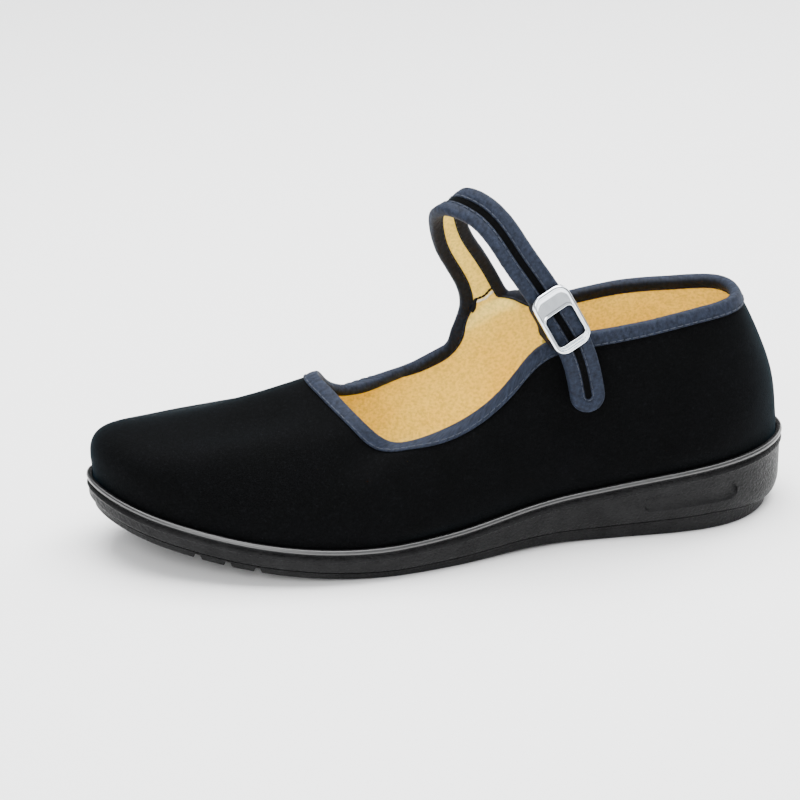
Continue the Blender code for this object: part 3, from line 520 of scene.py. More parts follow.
def loft(name, rings, caps="flat", sharp_deg=50.0):
    """Mesh through rings of equal count, with an attribute that measures along and across it.

    caps closes the ends: "ladder" with rungs from side to side of the foot, "strip" with rungs
    through the thickness of a flat band, "flat" with one face each, and "joined" end to end.
    """
    rings = np.asarray(rings, float)
    rows, count = rings.shape[:2]
    spans = rows if caps == "joined" else rows - 1
    faces = []
    for i in range(spans):
        low, high = i * count, (i + 1) % rows * count
        faces += [(low + j, low + (j + 1) % count, high + (j + 1) % count, high + j) for j in range(count)]
    for row in (0, rows - 1):
        start = row * count
        if caps == "ladder":
            for i in range(count // 2):
                corners = [i, i + 1, (-i - 1) % count, -i % count]
                faces.append([start + corner for corner in dict.fromkeys(corners)])
        elif caps == "strip":
            for i in range(count // 2 - 1):
                faces.append([start + i, start + i + 1, start + count - i - 2, start + count - i - 1])
        elif caps == "flat":
            faces.append([start + i for i in range(count)])
    mesh = bpy.data.meshes.new(name)
    mesh.from_pydata(rings.reshape(-1, 3).tolist(), [], faces)
    forward = np.linalg.norm(np.roll(rings, -1, 0) - rings, axis=2).mean(1)
    around = np.linalg.norm(np.roll(rings, -1, 1) - rings, axis=2).mean(0)
    run = np.append(0.0, np.cumsum(forward))
    side = np.append(0.0, np.cumsum(around))
    grid_i, grid_j = np.divmod(np.arange(spans * count), count)
    corners = np.stack([
        np.stack([run[grid_i], side[grid_j]], 1), np.stack([run[grid_i], side[grid_j + 1]], 1),
        np.stack([run[grid_i + 1], side[grid_j + 1]], 1), np.stack([run[grid_i + 1], side[grid_j]], 1),
    ], 1).reshape(-1, 2)
    lie = np.zeros((len(mesh.loops), 3), np.float32)
    lie[:len(corners), :2] = corners
    mesh.attributes.new("lie", "FLOAT_VECTOR", "CORNER").data.foreach_set("vector", lie.ravel())
    net = bmesh.new()
    net.from_mesh(mesh)
    bmesh.ops.recalc_face_normals(net, faces=net.faces)
    net.to_mesh(mesh)
    net.free()
    mesh.shade_smooth()
    mesh.set_sharp_from_angle(angle=math.radians(sharp_deg))
    return mesh


def new_object(name, data):
    made = bpy.data.objects.new(name, data)
    bpy.context.scene.collection.objects.link(made)
    return made


def mesh_from(name, net):
    """Mesh of a bmesh, which is freed."""
    mesh = bpy.data.meshes.new(name)
    net.to_mesh(mesh)
    net.free()
    return mesh


def add_piece(name, mesh, material, replaced=()):
    piece = new_object(name, mesh)
    mesh.materials.append(material)
    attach(piece, "root")
    if replaced:
        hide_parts(*replaced)
    return piece


def add_cutters(name, meshes):
    """One object from several closed meshes."""
    net = bmesh.new()
    for mesh in meshes:
        net.from_mesh(mesh)
    return new_object(name, mesh_from(name, net))


def carve(piece, helper):
    """Cut the helper out of the piece for good, and remove the helper."""
    modifier = piece.modifiers.new("carve", "BOOLEAN")
    modifier.operation = "DIFFERENCE"
    modifier.solver = "EXACT"
    modifier.object = helper
    bpy.context.view_layer.update()
    evaluated = piece.evaluated_get(bpy.context.evaluated_depsgraph_get())
    mesh = bpy.data.meshes.new_from_object(evaluated)
    piece.modifiers.clear()
    piece.data = mesh
    bpy.data.objects.remove(helper)


def soft_rise(points):
    """How far the hollows and swells move each point of the velvet."""
    scale = np.array([SOLE_LENGTH, BALL_WIDTH / 2, COLLAR_HEIGHT])
    shares = points / scale
    shares[..., 0] = 0.5 - shares[..., 0]
    rise = np.zeros(points.shape[:-1])
    for _, along, across, height, reach_along, reach_across, reach_height, amount in SOFT_FORMS:
        away = (shares - (along, across, height)) / (reach_along, reach_across, reach_height)
        rise += amount * np.exp(-(away ** 2).sum(-1))
    return rise


def wall_grid(levels):
    """Points and outward normals of the upper's surface at these levels, all round the foot."""
    points = np.array([[surface(t, v) for t in AROUND] for v in levels])
    normals = np.array([[surface_normal(t, v) for t in AROUND] for v in levels])
    return points, normals


def shell_rings(levels, outer_depth, inner_depth, hidden_rows, softness):
    """Rings of a layer of the upper between two depths, with few rows on its hidden face."""
    points, normals = wall_grid(levels)
    fade = np.array([smooth(0.0, 0.6, v) * smooth(0.0, 0.9, LAST - v) for v in levels])[:, None]
    rise = (soft_rise(points) * fade * softness)[..., None]
    foot = np.array([0.0, 0.0, CUP_DEPTH - GAP])
    away = np.array([np.append(outward(t), 0.0) for t in AROUND])

    def face(depth, hidden):
        low = points[0] - depth * away
        rings = np.concatenate([[low - foot, low], (points - (depth - rise) * normals)[1:]])
        kept = np.linspace(0, len(rings) - 1, hidden_rows if hidden else len(rings))
        return rings[np.unique(kept.round().astype(int))]

    is_outermost = outer_depth == 0.0
    return np.concatenate([face(outer_depth, not is_outermost), face(inner_depth, is_outermost)[::-1]])


def make_upper(velvet, lining):
    levels = [LAST * i / SHELL_ROWS for i in range(SHELL_ROWS + 1)]
    middle = VELVET_SHARE * WALL
    shell = shell_rings(levels, 0.0, middle, 12, 1.0)
    add_piece("upper_velvet", loft("upper_velvet", shell, "joined"), velvet, ["upper"])
    shell = shell_rings(levels[::2], middle + LAYER_GAP, WALL, 8, 0.6)
    add_piece("upper_lining", loft("upper_lining", shell, "joined"), lining)


# Piping round the collar and the strap

def pucker(run):
    """Uneven fullness of the folded strip along its run, about 0 and under 1."""
    waves = ((0.0036, 0.0, 0.45), (0.0023, 1.3, 0.30), (0.0131, 2.1, 0.50), (0.0057, 0.7, 0.35))
    return sum(weight * math.sin(2 * math.pi * run / length + phase) for length, phase, weight in waves)


# Outer face of a leg from its free edge up, as shares of its depth and of BINDING_THICKNESS
LEGS = ((1.00, 0.30), (0.985, 0.68), (0.93, 0.84), (0.84, 0.80), (0.76, 0.66), (0.68, 0.82),
        (0.50, 1.02), (0.30, 1.12), (0.12, 1.12))
CROWN_STEPS = 10
OUTER_STITCH = 3              # index in a section of the stitches' place on the outer leg
INNER_STITCH = 2 * len(LEGS) + CROWN_STEPS - 2 - OUTER_STITCH


def piping_section(rail, up, thickness, run, outer_leg=BINDING_DEPTH):
    """Closed section of the folded strip.  rail gives the outer face's point and normal by depth."""
    skin = BINDING_THICKNESS
    full = 1.0 + FULLNESS * pucker(run)
    edge, normal = rail(0.0)

    def leg(share, lift, inner):
        point, away = rail(share * (INNER_LEG if inner else outer_leg))
        swell = HUG + lift * skin * (full if 0.1 < share < 0.7 else 1.0)
        return point - (thickness + swell) * away if inner else point + swell * away

    half = thickness / 2
    centre = edge - half * normal
    wide, tall = half + HUG + 1.10 * skin, GAP + 1.50 * skin * full
    arc = [math.pi * i / CROWN_STEPS for i in range(1, CROWN_STEPS)]
    crown = [centre + wide * math.cos(a) * normal + tall * math.sin(a) ** 0.8 * up for a in arc]
    low, low_normal = rail(outer_leg)
    inner_low, inner_normal = rail(INNER_LEG)
    middle, middle_normal = rail(0.5 * outer_leg)
    hidden = [
        inner_low - (thickness + HUG) * inner_normal, middle - (thickness + HUG) * middle_normal,
        edge - (thickness + HUG) * normal + 0.5 * GAP * up, edge + HUG * normal + 0.5 * GAP * up,
        middle + HUG * middle_normal, low + HUG * low_normal,
    ]
    outer = [leg(share, lift, False) for share, lift in LEGS]
    inner = [leg(share, lift, True) for share, lift in reversed(LEGS)]
    return outer + crown + inner + hidden


def collar_rail(t):
    below = binding_v(t)

    def rail(depth):
        v = LAST - (LAST - below) * depth / BINDING_DEPTH
        return surface(t, v), surface_normal(t, v)

    return rail, -collar_frame(t)[2]


def strap_rail(length, aside, in_length, in_aside):
    def rail(depth):
        spot = (length + depth * in_length, aside + depth * in_aside)
        normal = strap_normal(*spot)
        return strap_point(*spot) + STRAP_THICKNESS / 2 * normal, normal

    step = 4e-4
    out = strap_point(length, aside) - strap_point(length + step * in_length, aside + step * in_aside)
    return rail, unit(out)


PIPING_STEP = 0.0010
JOIN_LENGTH = 0.0050          # of the strap's edge that the blend from the collar takes
JOIN_COLLAR = 0.0045          # of the collar's edge on each side of the ear
JOIN_SPANS = 9                # spans in each of those two blends
STRIP_START = 10              # section up the strap's front edge at which the closed strip begins


def strap_edge():
    """Stations up the strap's front edge, round its tip and down its rear edge, each with the
    direction into the strap, as lengths along and across it."""
    straight = STRAP_LENGTH - TIP_RADIUS
    count = int((straight - JOIN_LENGTH) / PIPING_STEP)
    lengths = [JOIN_LENGTH + (straight - JOIN_LENGTH) * i / count for i in range(count + 1)]
    front, step = [], 2e-4
    for length in lengths:
        flare = (STRAP_AT(length + step)[3] - STRAP_AT(length - step)[3]) / (4 * step)
        scale = math.hypot(1.0, flare)
        front.append((length, -STRAP_AT(length)[3] / 2, flare / scale, 1.0 / scale))
    arc = [math.radians(-90 + 6 * i) for i in range(1, 30)]
    turns = [(math.cos(a), math.sin(a)) for a in arc]
    tip = [(straight + TIP_RADIUS * c, TIP_RADIUS * s, -c, -s) for c, s in turns]
    rear = [(length, -aside, along, -across) for length, aside, along, across in reversed(front)]
    return front + tip + rear


def bridge(before, start, end, after, count):
    """Sections between two runs, each point on a smooth curve that leaves and meets them."""
    before, start, end, after = (np.array(section) for section in (before, start, end, after))
    reach = np.linalg.norm(end - start, axis=1)[:, None]
    leave, meet = start - before, after - end
    leave *= reach / np.maximum(1e-6, np.linalg.norm(leave, axis=1)[:, None])
    meet *= reach / np.maximum(1e-6, np.linalg.norm(meet, axis=1)[:, None])
    made = []
    for i in range(1, count):
        s = i / count
        made.append(
            (2 * s ** 3 - 3 * s ** 2 + 1) * start + (s ** 3 - 2 * s ** 2 + s) * leave
            + (3 * s ** 2 - 2 * s ** 3) * end + (s ** 3 - s ** 2) * meet
        )
    return made


def piping_run():
    """Sections of the whole strip, from the rear of the ear round the heel and the throat, up the
    strap's front edge, round its tip and down its rear edge."""
    def beside_ear(t, step):
        """Place on the collar that lies JOIN_COLLAR from t, on the side that the step points to."""
        return t + JOIN_COLLAR * step / np.linalg.norm(collar_line(t + step) - collar_line(t))

    start = beside_ear(EAR_REAR_PLACE, 0.001)
    end = beside_ear(EAR_FRONT_PLACE, -0.001) + ROUND
    fine = np.linspace(start, end, 4000)
    chords = np.diff([collar_line(t) for t in fine], axis=0)
    length = np.append(0.0, np.cumsum(np.linalg.norm(chords, axis=1)))
    count = int(length[-1] / PIPING_STEP)
    places = np.interp(np.linspace(0.0, length[-1], count + 1), length, fine)
    collar = [piping_section(*collar_rail(float(t)), WALL, PIPING_STEP * i) for i, t in enumerate(places)]
    strap = [
        piping_section(*strap_rail(*spot), STRAP_THICKNESS, PIPING_STEP * i, STRAP_LEG)
        for i, spot in enumerate(strap_edge(), count + JOIN_SPANS - 1)
    ]
    up = bridge(collar[-3], collar[-1], strap[0], strap[2], JOIN_SPANS)
    back = bridge(strap[-3], strap[-1], collar[0], collar[2], JOIN_SPANS)
    whole = collar + up + strap + back
    middle = len(collar) + len(up) + STRIP_START
    return whole[middle:] + whole[:middle]


# Rings of one thread: share of STITCH_LENGTH, then size and lift as shares of STITCH_RADIUS
STITCH_FORM = ((0.0, 0.35, -0.7), (0.12, 0.85, 0.1), (0.5, 1.0, 0.45), (0.88, 0.85, 0.1), (1.0, 0.35, -0.7))
STITCH_SIDES = 6


def make_stitches(name, run, index, material):
    """Threads that lie in the channel of the piping, one short rounded bar each."""
    line = np.array([section[index] for section in run])
    inside = np.array([np.mean(section, axis=0) for section in run])
    length = np.append(0.0, np.cumsum(np.linalg.norm(np.diff(line, axis=0), axis=1)))
    net = bmesh.new()
    for number in range(int(length[-1] / STITCH_PITCH)):
        first = number * STITCH_PITCH
        stations = [first + STITCH_LENGTH * form[0] for form in STITCH_FORM]
        spots = [np.array([np.interp(s, length, line[:, axis]) for axis in range(3)]) for s in stations]
        core = np.array([np.interp(stations[2], length, inside[:, axis]) for axis in range(3)])
        tangent = unit(spots[-1] - spots[0])
        out = spots[2] - core
        out = unit(out - tangent * np.dot(out, tangent))
        side = np.cross(tangent, out)
        rows = []
        for spot, (_, size, lift) in zip(spots, STITCH_FORM):
            ring = []
            for corner in range(STITCH_SIDES):
                angle = 2 * math.pi * corner / STITCH_SIDES
                offset = size * (math.cos(angle) * side + math.sin(angle) * out) + lift * out
                ring.append(net.verts.new(Vector(spot + STITCH_RADIUS * offset)))
            rows.append(ring)
        for low, high in zip(rows, rows[1:]):
            for j in range(STITCH_SIDES):
                after = (j + 1) % STITCH_SIDES
                net.faces.new((low[j], low[after], high[after], high[j]))
        net.faces.new(rows[0][::-1])
        net.faces.new(rows[-1])
    bmesh.ops.recalc_face_normals(net, faces=net.faces)
    mesh = mesh_from(name, net)
    mesh.shade_smooth()
    add_piece(name, mesh, material)


def make_piping(cloth, thread, dark_and_shaded_thread):
    run = piping_run()
    mesh = loft("piping", run, "joined", 70.0)
    add_piece("piping", mesh, cloth, ["collar_binding", "strap_binding"])
    make_stitches("stitches_outside", run, OUTER_STITCH, thread)
    # Painted shade: the inside stitches get a darker copy of the thread, for the shade inside the shoe
    make_stitches("stitches_inside", run, INNER_STITCH, dark_and_shaded_thread)


# Strap

def strap_layer(name, low, high, crown, material, replaced=()):
    """One layer of the strap between two heights over its middle sheet."""
    spans, spans_across = 170, 12
    straight = STRAP_LENGTH - TIP_RADIUS
    lengths = [straight * i / spans for i in range(spans + 1)]
    lengths += [straight + TIP_RADIUS * math.sin(math.radians(a)) for a in range(8, 88, 8)]
    shares = [i / spans_across - 0.5 for i in range(spans_across + 1)]
    rings = []
    for length in lengths:
        past = max(0.0, length - straight)
        width = STRAP_AT(min(length, straight))[3] * math.sqrt(1.0 - (past / TIP_RADIUS) ** 2)
        face, back = [], []
        for share in shares:
            aside = share * width
            point, normal = strap_point(length, aside), strap_normal(length, aside)
            swell = crown * (1.0 - (2 * share) ** 2) * smooth(0.0, EAR_BLEND, length)
            face.append(point + (high + max(0.0, swell)) * normal)
            back.append(point + (low + min(0.0, swell)) * normal)
        rings.append(face + back[::-1])
    add_piece(name, loft(name, rings, "strip"), material, replaced)


def make_seam(raw_edge, dark_and_shaded_thread):
    """The tuck inside the shoe where the strap's lining is sewn to the upper's: a dark line of
    thread that ends in a knot at the front, over the pale raw edge of the lining."""
    def path(front, rear, drop, lift):
        spots, spans = [], 60
        for i in range(spans + 1):
            share = i / spans
            length = front + (rear - front) * share + 0.0003 * math.sin(9.0 * share)
            knot = (1.0 - smooth(0.0, 0.24, share)) ** 2
            length -= drop * knot
            aside = (share - 0.5) * (STRAP_AT(length)[3] - 2 * INNER_LEG + 0.0010)
            depth = STRAP_THICKNESS / 2 + lift + 0.3 * drop * knot
            spots.append(strap_point(length, aside) - depth * strap_normal(length, aside))
        return np.array(spots)

    def tube(name, spots, radius, material):
        rings = []
        for i, spot in enumerate(spots):
            tangent = unit(spots[min(i + 1, len(spots) - 1)] - spots[max(0, i - 1)])
            side = unit(np.cross(tangent, (0.0, 1.0, 0.2)))
            up = np.cross(tangent, side)
            size = radius(i / (len(spots) - 1))
            turns = [math.pi * k / 6 for k in range(12)]
            rings.append([spot + size * (math.cos(a) * side + math.sin(a) * up) for a in turns])
        add_piece(name, loft(name, rings), material)

    def thread_radius(share):
        return 0.00045 + 0.00060 * (1.0 - smooth(0.04, 0.24, share)) + 0.00008 * math.sin(40.0 * share)

    def edge_radius(share):
        return 0.00060 + 0.00012 * math.sin(23.0 * share + 1.0)

    tube("seam_thread", path(0.0114, 0.0136, 0.0028, 0.00015), thread_radius, dark_and_shaded_thread)
    tube("seam_edge", path(0.0102, 0.0122, 0.0, 0.00005), edge_radius, raw_edge)


def make_strap(velvet, lining):
    half = STRAP_THICKNESS / 2
    strap_layer("strap_velvet", 0.5 * LAYER_GAP, half, 0.00045, velvet, ["strap"])
    strap_layer("strap_lining", -half, -0.5 * LAYER_GAP, -0.00025, lining)


# Sole

def heel_back(t):
    """0 along the sides and up to 1 at the very back of the heel."""
    return max(0.0, 1.0 - along_of(rim_outline(t)[0]) / HEEL_BACK)


def undercut(t):
    """Inset of the tread below the rim, deeper round the back of the heel."""
    return TREAD_INSET + HEEL_UNDERCUT * heel_back(t) ** 1.5


def wall_inset(t, share):
    """Inset of the sole's side at a share of the way down it.  It turns in towards its foot."""
    side_share, more_at_back, curl_power = 0.55, 0.30, 2.4
    back = heel_back(t)
    turned = min(1.0, max(0.0, (share - WALL_TURN) / (1.0 - WALL_TURN)))
    curl = (1.0 - back) * turned ** curl_power + back * (1.0 - math.sqrt(1.0 - turned ** 2))
    lean = WALL_LEAN * share / WALL_TURN + (1.0 - WALL_LEAN / WALL_TURN) * curl
    return GROOVE_DEPTH + ((side_share + more_at_back * back) * undercut(t) - GROOVE_DEPTH) * lean


def foot_ring(inset_at, height_at):
    """Ring round the foot, with its inset by section and its height by place along the sole."""
    ring = []
    for t in AROUND:
        point = outline(t, inset_at(t), 0.0)
        point[2] = height_at(point[0])
        ring.append(point)
    return ring


def tread_ring(inset, lift, of_height, of_undercut=1.0):
    return foot_ring(lambda t: of_undercut * undercut(t) + inset,
                     lambda x: tread_line(x) + lift + of_height * tread_height(x))


def wall_foot(x):
    """Height of the foot of the sole's side, just over the tread block."""
    return tread_line(x) + tread_height(x) + 0.5 * TREAD_BEVEL


def wall_ring(share):
    return foot_ring(lambda t: wall_inset(t, share),
                     lambda x: wall_foot(x) + (1.0 - share) * (rim_z(x) - WALL_TOP - wall_foot(x)))


def rim_ring(inset, drop):
    return foot_ring(lambda t: inset, lambda x: rim_z(x) - drop)


# Lip over the tread: inset and lift, and share of the undercut
TREAD_LIP = ((0.0, -0.0010, 1.0), (-0.00030, -0.0007, 1.0), (-0.00035, -0.0003, 1.0), (0.0, 0.0, 1.0),
             (0.0, 0.0002, 0.90))
WALL_SHARES = (1.0, 0.99, 0.97, 0.94, 0.90, 0.85, 0.79, 0.72, 0.64, 0.5, 0.3, 0.12, 0.0)
LEDGE = ((0.60, 0.0005), (0.20, 0.0002), (0.10, 0.0), (0.20, -0.0002))   # of GROOVE_DEPTH, past LEDGE_DROP
GROOVE = ((0.45, 1.55), (1.2, 1.32), (1.6, 1.20), (1.4, 1.06))           # of GROOVE_DEPTH, of BEAD_HEIGHT
GLOSSY_SPANS = range(4, 9)    # spans of the bead's roll that shine


def make_outsole(rubber, polished):
    """The sole with its bevelled tread, turned side, ledge line, groove, bead and cup."""
    bead, cup, sharp_deg = BEAD_HEIGHT / 2, RIM_STEP - GAP, 38.0
    rings = [tread_ring(TREAD_BEVEL, 0.0, 0.0)]
    rings += [tread_ring(TREAD_BEVEL * b, TREAD_BEVEL * a, 0.0) for a, b in rounding((30, 60, 90))]
    rings += [tread_ring(inset, lift, 1.0, of_undercut) for inset, lift, of_undercut in TREAD_LIP]
    rings += [wall_ring(share) for share in WALL_SHARES]
    rings += [rim_ring(share * GROOVE_DEPTH, LEDGE_DROP + lower) for share, lower in LEDGE]
    rings += [rim_ring(share * GROOVE_DEPTH, drop * BEAD_HEIGHT) for share, drop in GROOVE]
    roll = len(rings)
    rings += [rim_ring(bead * a, bead * b) for a, b in rounding(range(-75, 91, 15))]
    rings += [rim_ring(0.8 * RIM_STEP, 0.1 * BEAD_HEIGHT), rim_ring(cup, 0.35 * BEAD_HEIGHT)]
    rings.append(rim_ring(cup, CUP_DEPTH))
    mesh = loft("sole", rings, "ladder", sharp_deg)
    for face in mesh.polygons[:(len(rings) - 1) * ROUND_COUNT]:
        face.material_index = int(face.index // ROUND_COUNT - roll in GLOSSY_SPANS)
    sole = add_piece("sole", mesh, rubber, ["outsole"])
    mesh.materials.append(polished)
    keys = [panel_cutter("panel_outer", HEEL_KNOT), panel_cutter("panel_inner", ROUND)]
    keys += [tread_cutter(number) for number in range(TREAD_GROOVES)]
    carve(sole, add_cutters("sole_cutters", keys))
    sole.data.shade_smooth()
    sole.data.set_sharp_from_angle(angle=math.radians(sharp_deg))


def wall_point(t, drop, depth):
    """Point of the sole's side, drop below the rim and depth inside its face."""
    x = rim_outline(t)[0]
    share = (drop - WALL_TOP) / (rim_z(x) - wall_foot(x) - WALL_TOP)
    return outline(t, wall_inset(t, share) + depth, rim_z(x) - drop)


def panel_cutter(name, near):
    """Curved key that sinks the rounded panel into the heel's side."""
    steps = 48
    corner = 0.42 * PANEL_HEIGHT
    length = PANEL_TO - PANEL_FROM
    sections = []
    for i in range(steps + 1):
        share = 0.5 - 0.5 * math.cos(math.pi * (0.02 + 0.96 * i / steps))
        t = find_place(PANEL_FROM + share * length, rim_outline, near, TOE_KNOT)
        end = min(share, 1.0 - share) * length * SOLE_LENGTH
        cut_back = corner - math.sqrt(max(0.0, corner ** 2 - max(0.0, corner - end) ** 2))
        half = PANEL_HEIGHT / 2 - cut_back
        middle = PANEL_DROP + share * (PANEL_DROP_FRONT - PANEL_DROP)
        sections.append([
            wall_point(t, middle - half + PANEL_SLOPE, PANEL_DEPTH),
            wall_point(t, middle + half - PANEL_SLOPE, PANEL_DEPTH),
            wall_point(t, middle + half, 0.0), wall_point(t, middle + half, -4 * PANEL_DEPTH),
            wall_point(t, middle - half, -4 * PANEL_DEPTH), wall_point(t, middle - half, 0.0),
        ])
    return loft(name, sections)


def tread_cutter(number):
    """Bar with sloping sides that cuts one groove across the tread."""
    x = station_x(TREAD_FIRST) + number * TREAD_PITCH
    reach, under = 0.65 * BALL_WIDTH, -0.004
    top, low = 0.32 * TREAD_GROOVE_WIDTH, 1.1 * TREAD_GROOVE_WIDTH
    corners = ((-low, under), (low, under), (top, TREAD_GROOVE_DEPTH), (-top, TREAD_GROOVE_DEPTH))
    rings = [[(x + across, y, tread_line(x + across) + height) for across, height in corners]
             for y in (-reach, reach)]
    return loft(f"tread_{number}", rings)


# Insole, from its underside's edge over a rolled edge to the crowned top: inset, and height as a
# share of INSOLE_THICKNESS
INSOLE_RINGS = ((0.0, 0.0), (0.0, 0.6), (0.0001, 0.85), (0.0004, 1.0), (0.0011, 1.04), (0.0024, 0.98),
                (0.0042, 0.95), (0.0075, 0.93))


def make_insole(lining):
    inset, drop = RIM_STEP + WALL + GAP, CUP_DEPTH - GAP
    rings = [rim_ring(inset + more, drop - lift * INSOLE_THICKNESS) for more, lift in INSOLE_RINGS]
    add_piece("insole_cover", loft("insole_cover", rings, "ladder"), lining, ["insole"])


# Buckle and tab

def buckle_axes():
    """Middle of the buckle on the strap: X across it, Y up along it and Z outwards."""
    centre, direction, across, normal, _ = strap_frame(BUCKLE_PLACE)
    rows = [(across[i], -direction[i], normal[i], centre[i]) for i in range(3)]
    swing = Matrix.Rotation(math.radians(BUCKLE_SWING_DEG), 4, "Z")
    turn = Matrix.Rotation(math.radians(BUCKLE_TURN_DEG), 4, "Y")
    return Matrix((*rows, (0.0, 0.0, 0.0, 1.0))) @ swing @ turn


def rounded_loop(width, length, radius, middle_y):
    """Points of a rounded rectangle, as many on each corner and side whatever its size."""
    corner_steps, side_steps = 9, 24
    arcs = []
    for turn, (sx, sy) in enumerate(((1, 1), (-1, 1), (-1, -1), (1, -1))):
        angles = math.pi / 2 * (turn + np.arange(corner_steps + 1) / corner_steps)
        centre = (sx * (width / 2 - radius), sy * (length / 2 - radius))
        arcs.append(centre + radius * np.stack([np.cos(angles), np.sin(angles)], 1))
    shares = np.arange(1, side_steps)[:, None] / side_steps
    points = []
    for arc, following in zip(arcs, arcs[1:] + arcs[:1]):
        points += [arc, arc[-1] + (following[0] - arc[-1]) * shares]
    return np.concatenate(points) + (0.0, middle_y)


def make_buckle(metal, painted_shade_metal):
    """Polished slide: dished upper plate, window, rolled lower bar, side walls and the bar behind."""
    top = STRAP_FACE + BUCKLE_PLAY + BUCKLE_SHEET
    rim, lip_round, face_drop = 0.0009, 0.0004, 0.00008
    dish_depth, ridge_depth, plate_spans = 0.00032, 0.00030, 24
    window = (BUCKLE_WIDTH - 2 * BUCKLE_SIDE, BUCKLE_LENGTH - BUCKLE_PLATE - BUCKLE_BAR)
    window_middle = (BUCKLE_BAR - BUCKLE_PLATE) / 2
    window_corner = 0.0017

    def outer(offset):
        size = (BUCKLE_WIDTH - 2 * offset, BUCKLE_LENGTH - 2 * offset)
        return rounded_loop(*size, BUCKLE_CORNER - offset, 0.0)

    def inner(offset):
        size = (window[0] + 2 * offset, window[1] + 2 * offset)
        return rounded_loop(*size, window_corner + offset, window_middle)

    def wall_bottom(x, y):
        """Height of the wall's lower edge: a short lip over the strap, deep sides, deepest at the bar."""
        lip = top - BUCKLE_SHEET - 0.0003
        strap_half = STRAP_WIDTH / 2 + GAP + BINDING_THICKNESS
        side = smooth(strap_half + 0.0001, strap_half + BUCKLE_SIDE_PLAY, abs(x))
        at_bar = math.exp(-((y + BUCKLE_BAR_PLACE) / 0.0032) ** 2)
        deep = -BUCKLE_SKIRT + (BUCKLE_SKIRT - BUCKLE_BAR_DROP - 1.5 * BUCKLE_BAR_RADIUS) * at_bar
        return lip + (deep - lip) * side

    def lifted(loop, height):
        return [(x, y, height(x, y) if callable(height) else height) for x, y in loop]

    rings = [lifted(outer(0.0), wall_bottom), lifted(outer(0.0), top - rim)]
    rings += [lifted(outer(rim * a), top - rim * b) for a, b in rounding((18, 36, 54, 72, 90))]
    start, finish = outer(1.15 * rim), inner(lip_round)
    for i in range(plate_spans + 1):
        share = i / plate_spans
        loop = start + (finish - start) * share
        ring = []
        for (x, y), (x0, y0), (x1, y1) in zip(loop, start, finish):
            broad = math.hypot(x1 - x0, y1 - y0)
            edges = smooth(0.06, 0.22, share) * smooth(1.0, 0.90, share)
            dish = dish_depth * smooth(0.0030, 0.0055, broad) * edges
            low_bar = smooth(0.0, 0.0012, window_middle - window[1] / 2 - y)
            ridges = ridge_depth * low_bar * (math.cos(4 * math.pi * share) - 1.0)
            ring.append((x, y, top - face_drop - dish + ridges))
        rings.append(ring)
    face = top - face_drop
    rings += [lifted(inner(lip_round * b), face - lip_round * a) for a, b in rounding((30, 60, 90))]
    under = top - BUCKLE_SHEET
    rings += [lifted(inner(0.0), under - 0.0006), lifted(outer(1.6 * BUCKLE_SHEET), under),
              lifted(outer(BUCKLE_SHEET), under - 0.0002), lifted(outer(BUCKLE_SHEET), wall_bottom)]
    axes = buckle_axes()
    placed = [[axes @ Vector(point) for point in ring] for ring in rings]
    mesh = loft("buckle_frame", placed, "joined", 60.0)
    # Painted shade: the outer walls, the window's inner walls and the underside get the near-black
    # painted-shade material instead of the polished metal, and so does the bar behind
    for face in mesh.polygons:
        face.material_index = int(face.index // len(rings[0]) not in range(1, len(rings) - 6))
    add_piece("buckle_frame", mesh, metal, ["buckle"])
    mesh.materials.append(painted_shade_metal)
    reach = BUCKLE_WIDTH / 2 + 0.0002
    turns = [math.pi * i / 12 for i in range(24)]
    bar = []
    for share in (-1.0, -0.97, -0.9, 0.9, 0.97, 1.0):
        radius = BUCKLE_BAR_RADIUS * (0.7 if abs(share) == 1.0 else 1.0)
        spots = [Vector((share * reach, radius * math.cos(a), radius * math.sin(a))) for a in turns]
        bar.append([axes @ (spot - Vector((0.0, BUCKLE_BAR_PLACE, BUCKLE_BAR_DROP))) for spot in spots])
    add_piece("buckle_bar", loft("buckle_bar", bar), painted_shade_metal)


def make_tab(lining):
    """Tan tab, sewn inside the outer quarter, that rises over the collar and holds the bar."""
    axes = buckle_axes()
    bar = np.array(axes @ Vector((0.0, -BUCKLE_BAR_PLACE, -BUCKLE_BAR_DROP)))
    bar_axis = np.array(axes.col[0][:3])
    along, out = -np.array(axes.col[1][:3]), np.array(axes.col[2][:3])
    t = find_place(along_of(bar[0]), collar_line, HEEL_KNOT, TOE_KNOT)
    edge, normal, down = collar_frame(t)
    below = binding_v(t)
    low = surface(t, below) + (TAB_REACH - BINDING_DEPTH) * down
    inside = WALL + 2 * GAP + BINDING_THICKNESS + TAB_THICKNESS / 2
    path = [low - inside * surface_normal(t, below), surface(t, below) - inside * surface_normal(t, below)]
    path += [edge - inside * normal, edge - inside * normal - 2.5 * BINDING_THICKNESS * down]
    loop = BUCKLE_BAR_RADIUS + GAP + TAB_THICKNESS / 2
    for degrees in range(-20, 261, 35):
        angle = math.radians(degrees)
        path.append(bar - loop * (math.cos(angle) * out + math.sin(angle) * along))
    tangent = np.cross(down, normal)
    tangent *= np.sign(np.dot(tangent, bar_axis))
    wides = [tangent + (bar_axis - tangent) * min(1.0, max(0.0, (i - 2) / 2.0)) for i in range(len(path))]
    knots = np.cumsum([0.0] + [np.linalg.norm(b - a) for a, b in zip(path, path[1:])])
    route = spline(knots, np.hstack([path, wides]))
    profile = rounded_loop(TAB_WIDTH, TAB_THICKNESS, 0.45 * TAB_THICKNESS, 0.0)
    rings, spans = [], 80
    for i in range(spans + 1):
        s = knots[-1] * i / spans
        value = route(s)
        step = route(min(knots[-1], s + 2e-4))[:3] - route(max(0.0, s - 2e-4))[:3]
        wide = unit(value[3:])
        thick = unit(np.cross(wide, step))
        rings.append([value[:3] + a * wide + b * thick for a, b in profile])
    add_piece("tab", loft("tab", rings), lining, ["buckle_tab"])


# Materials

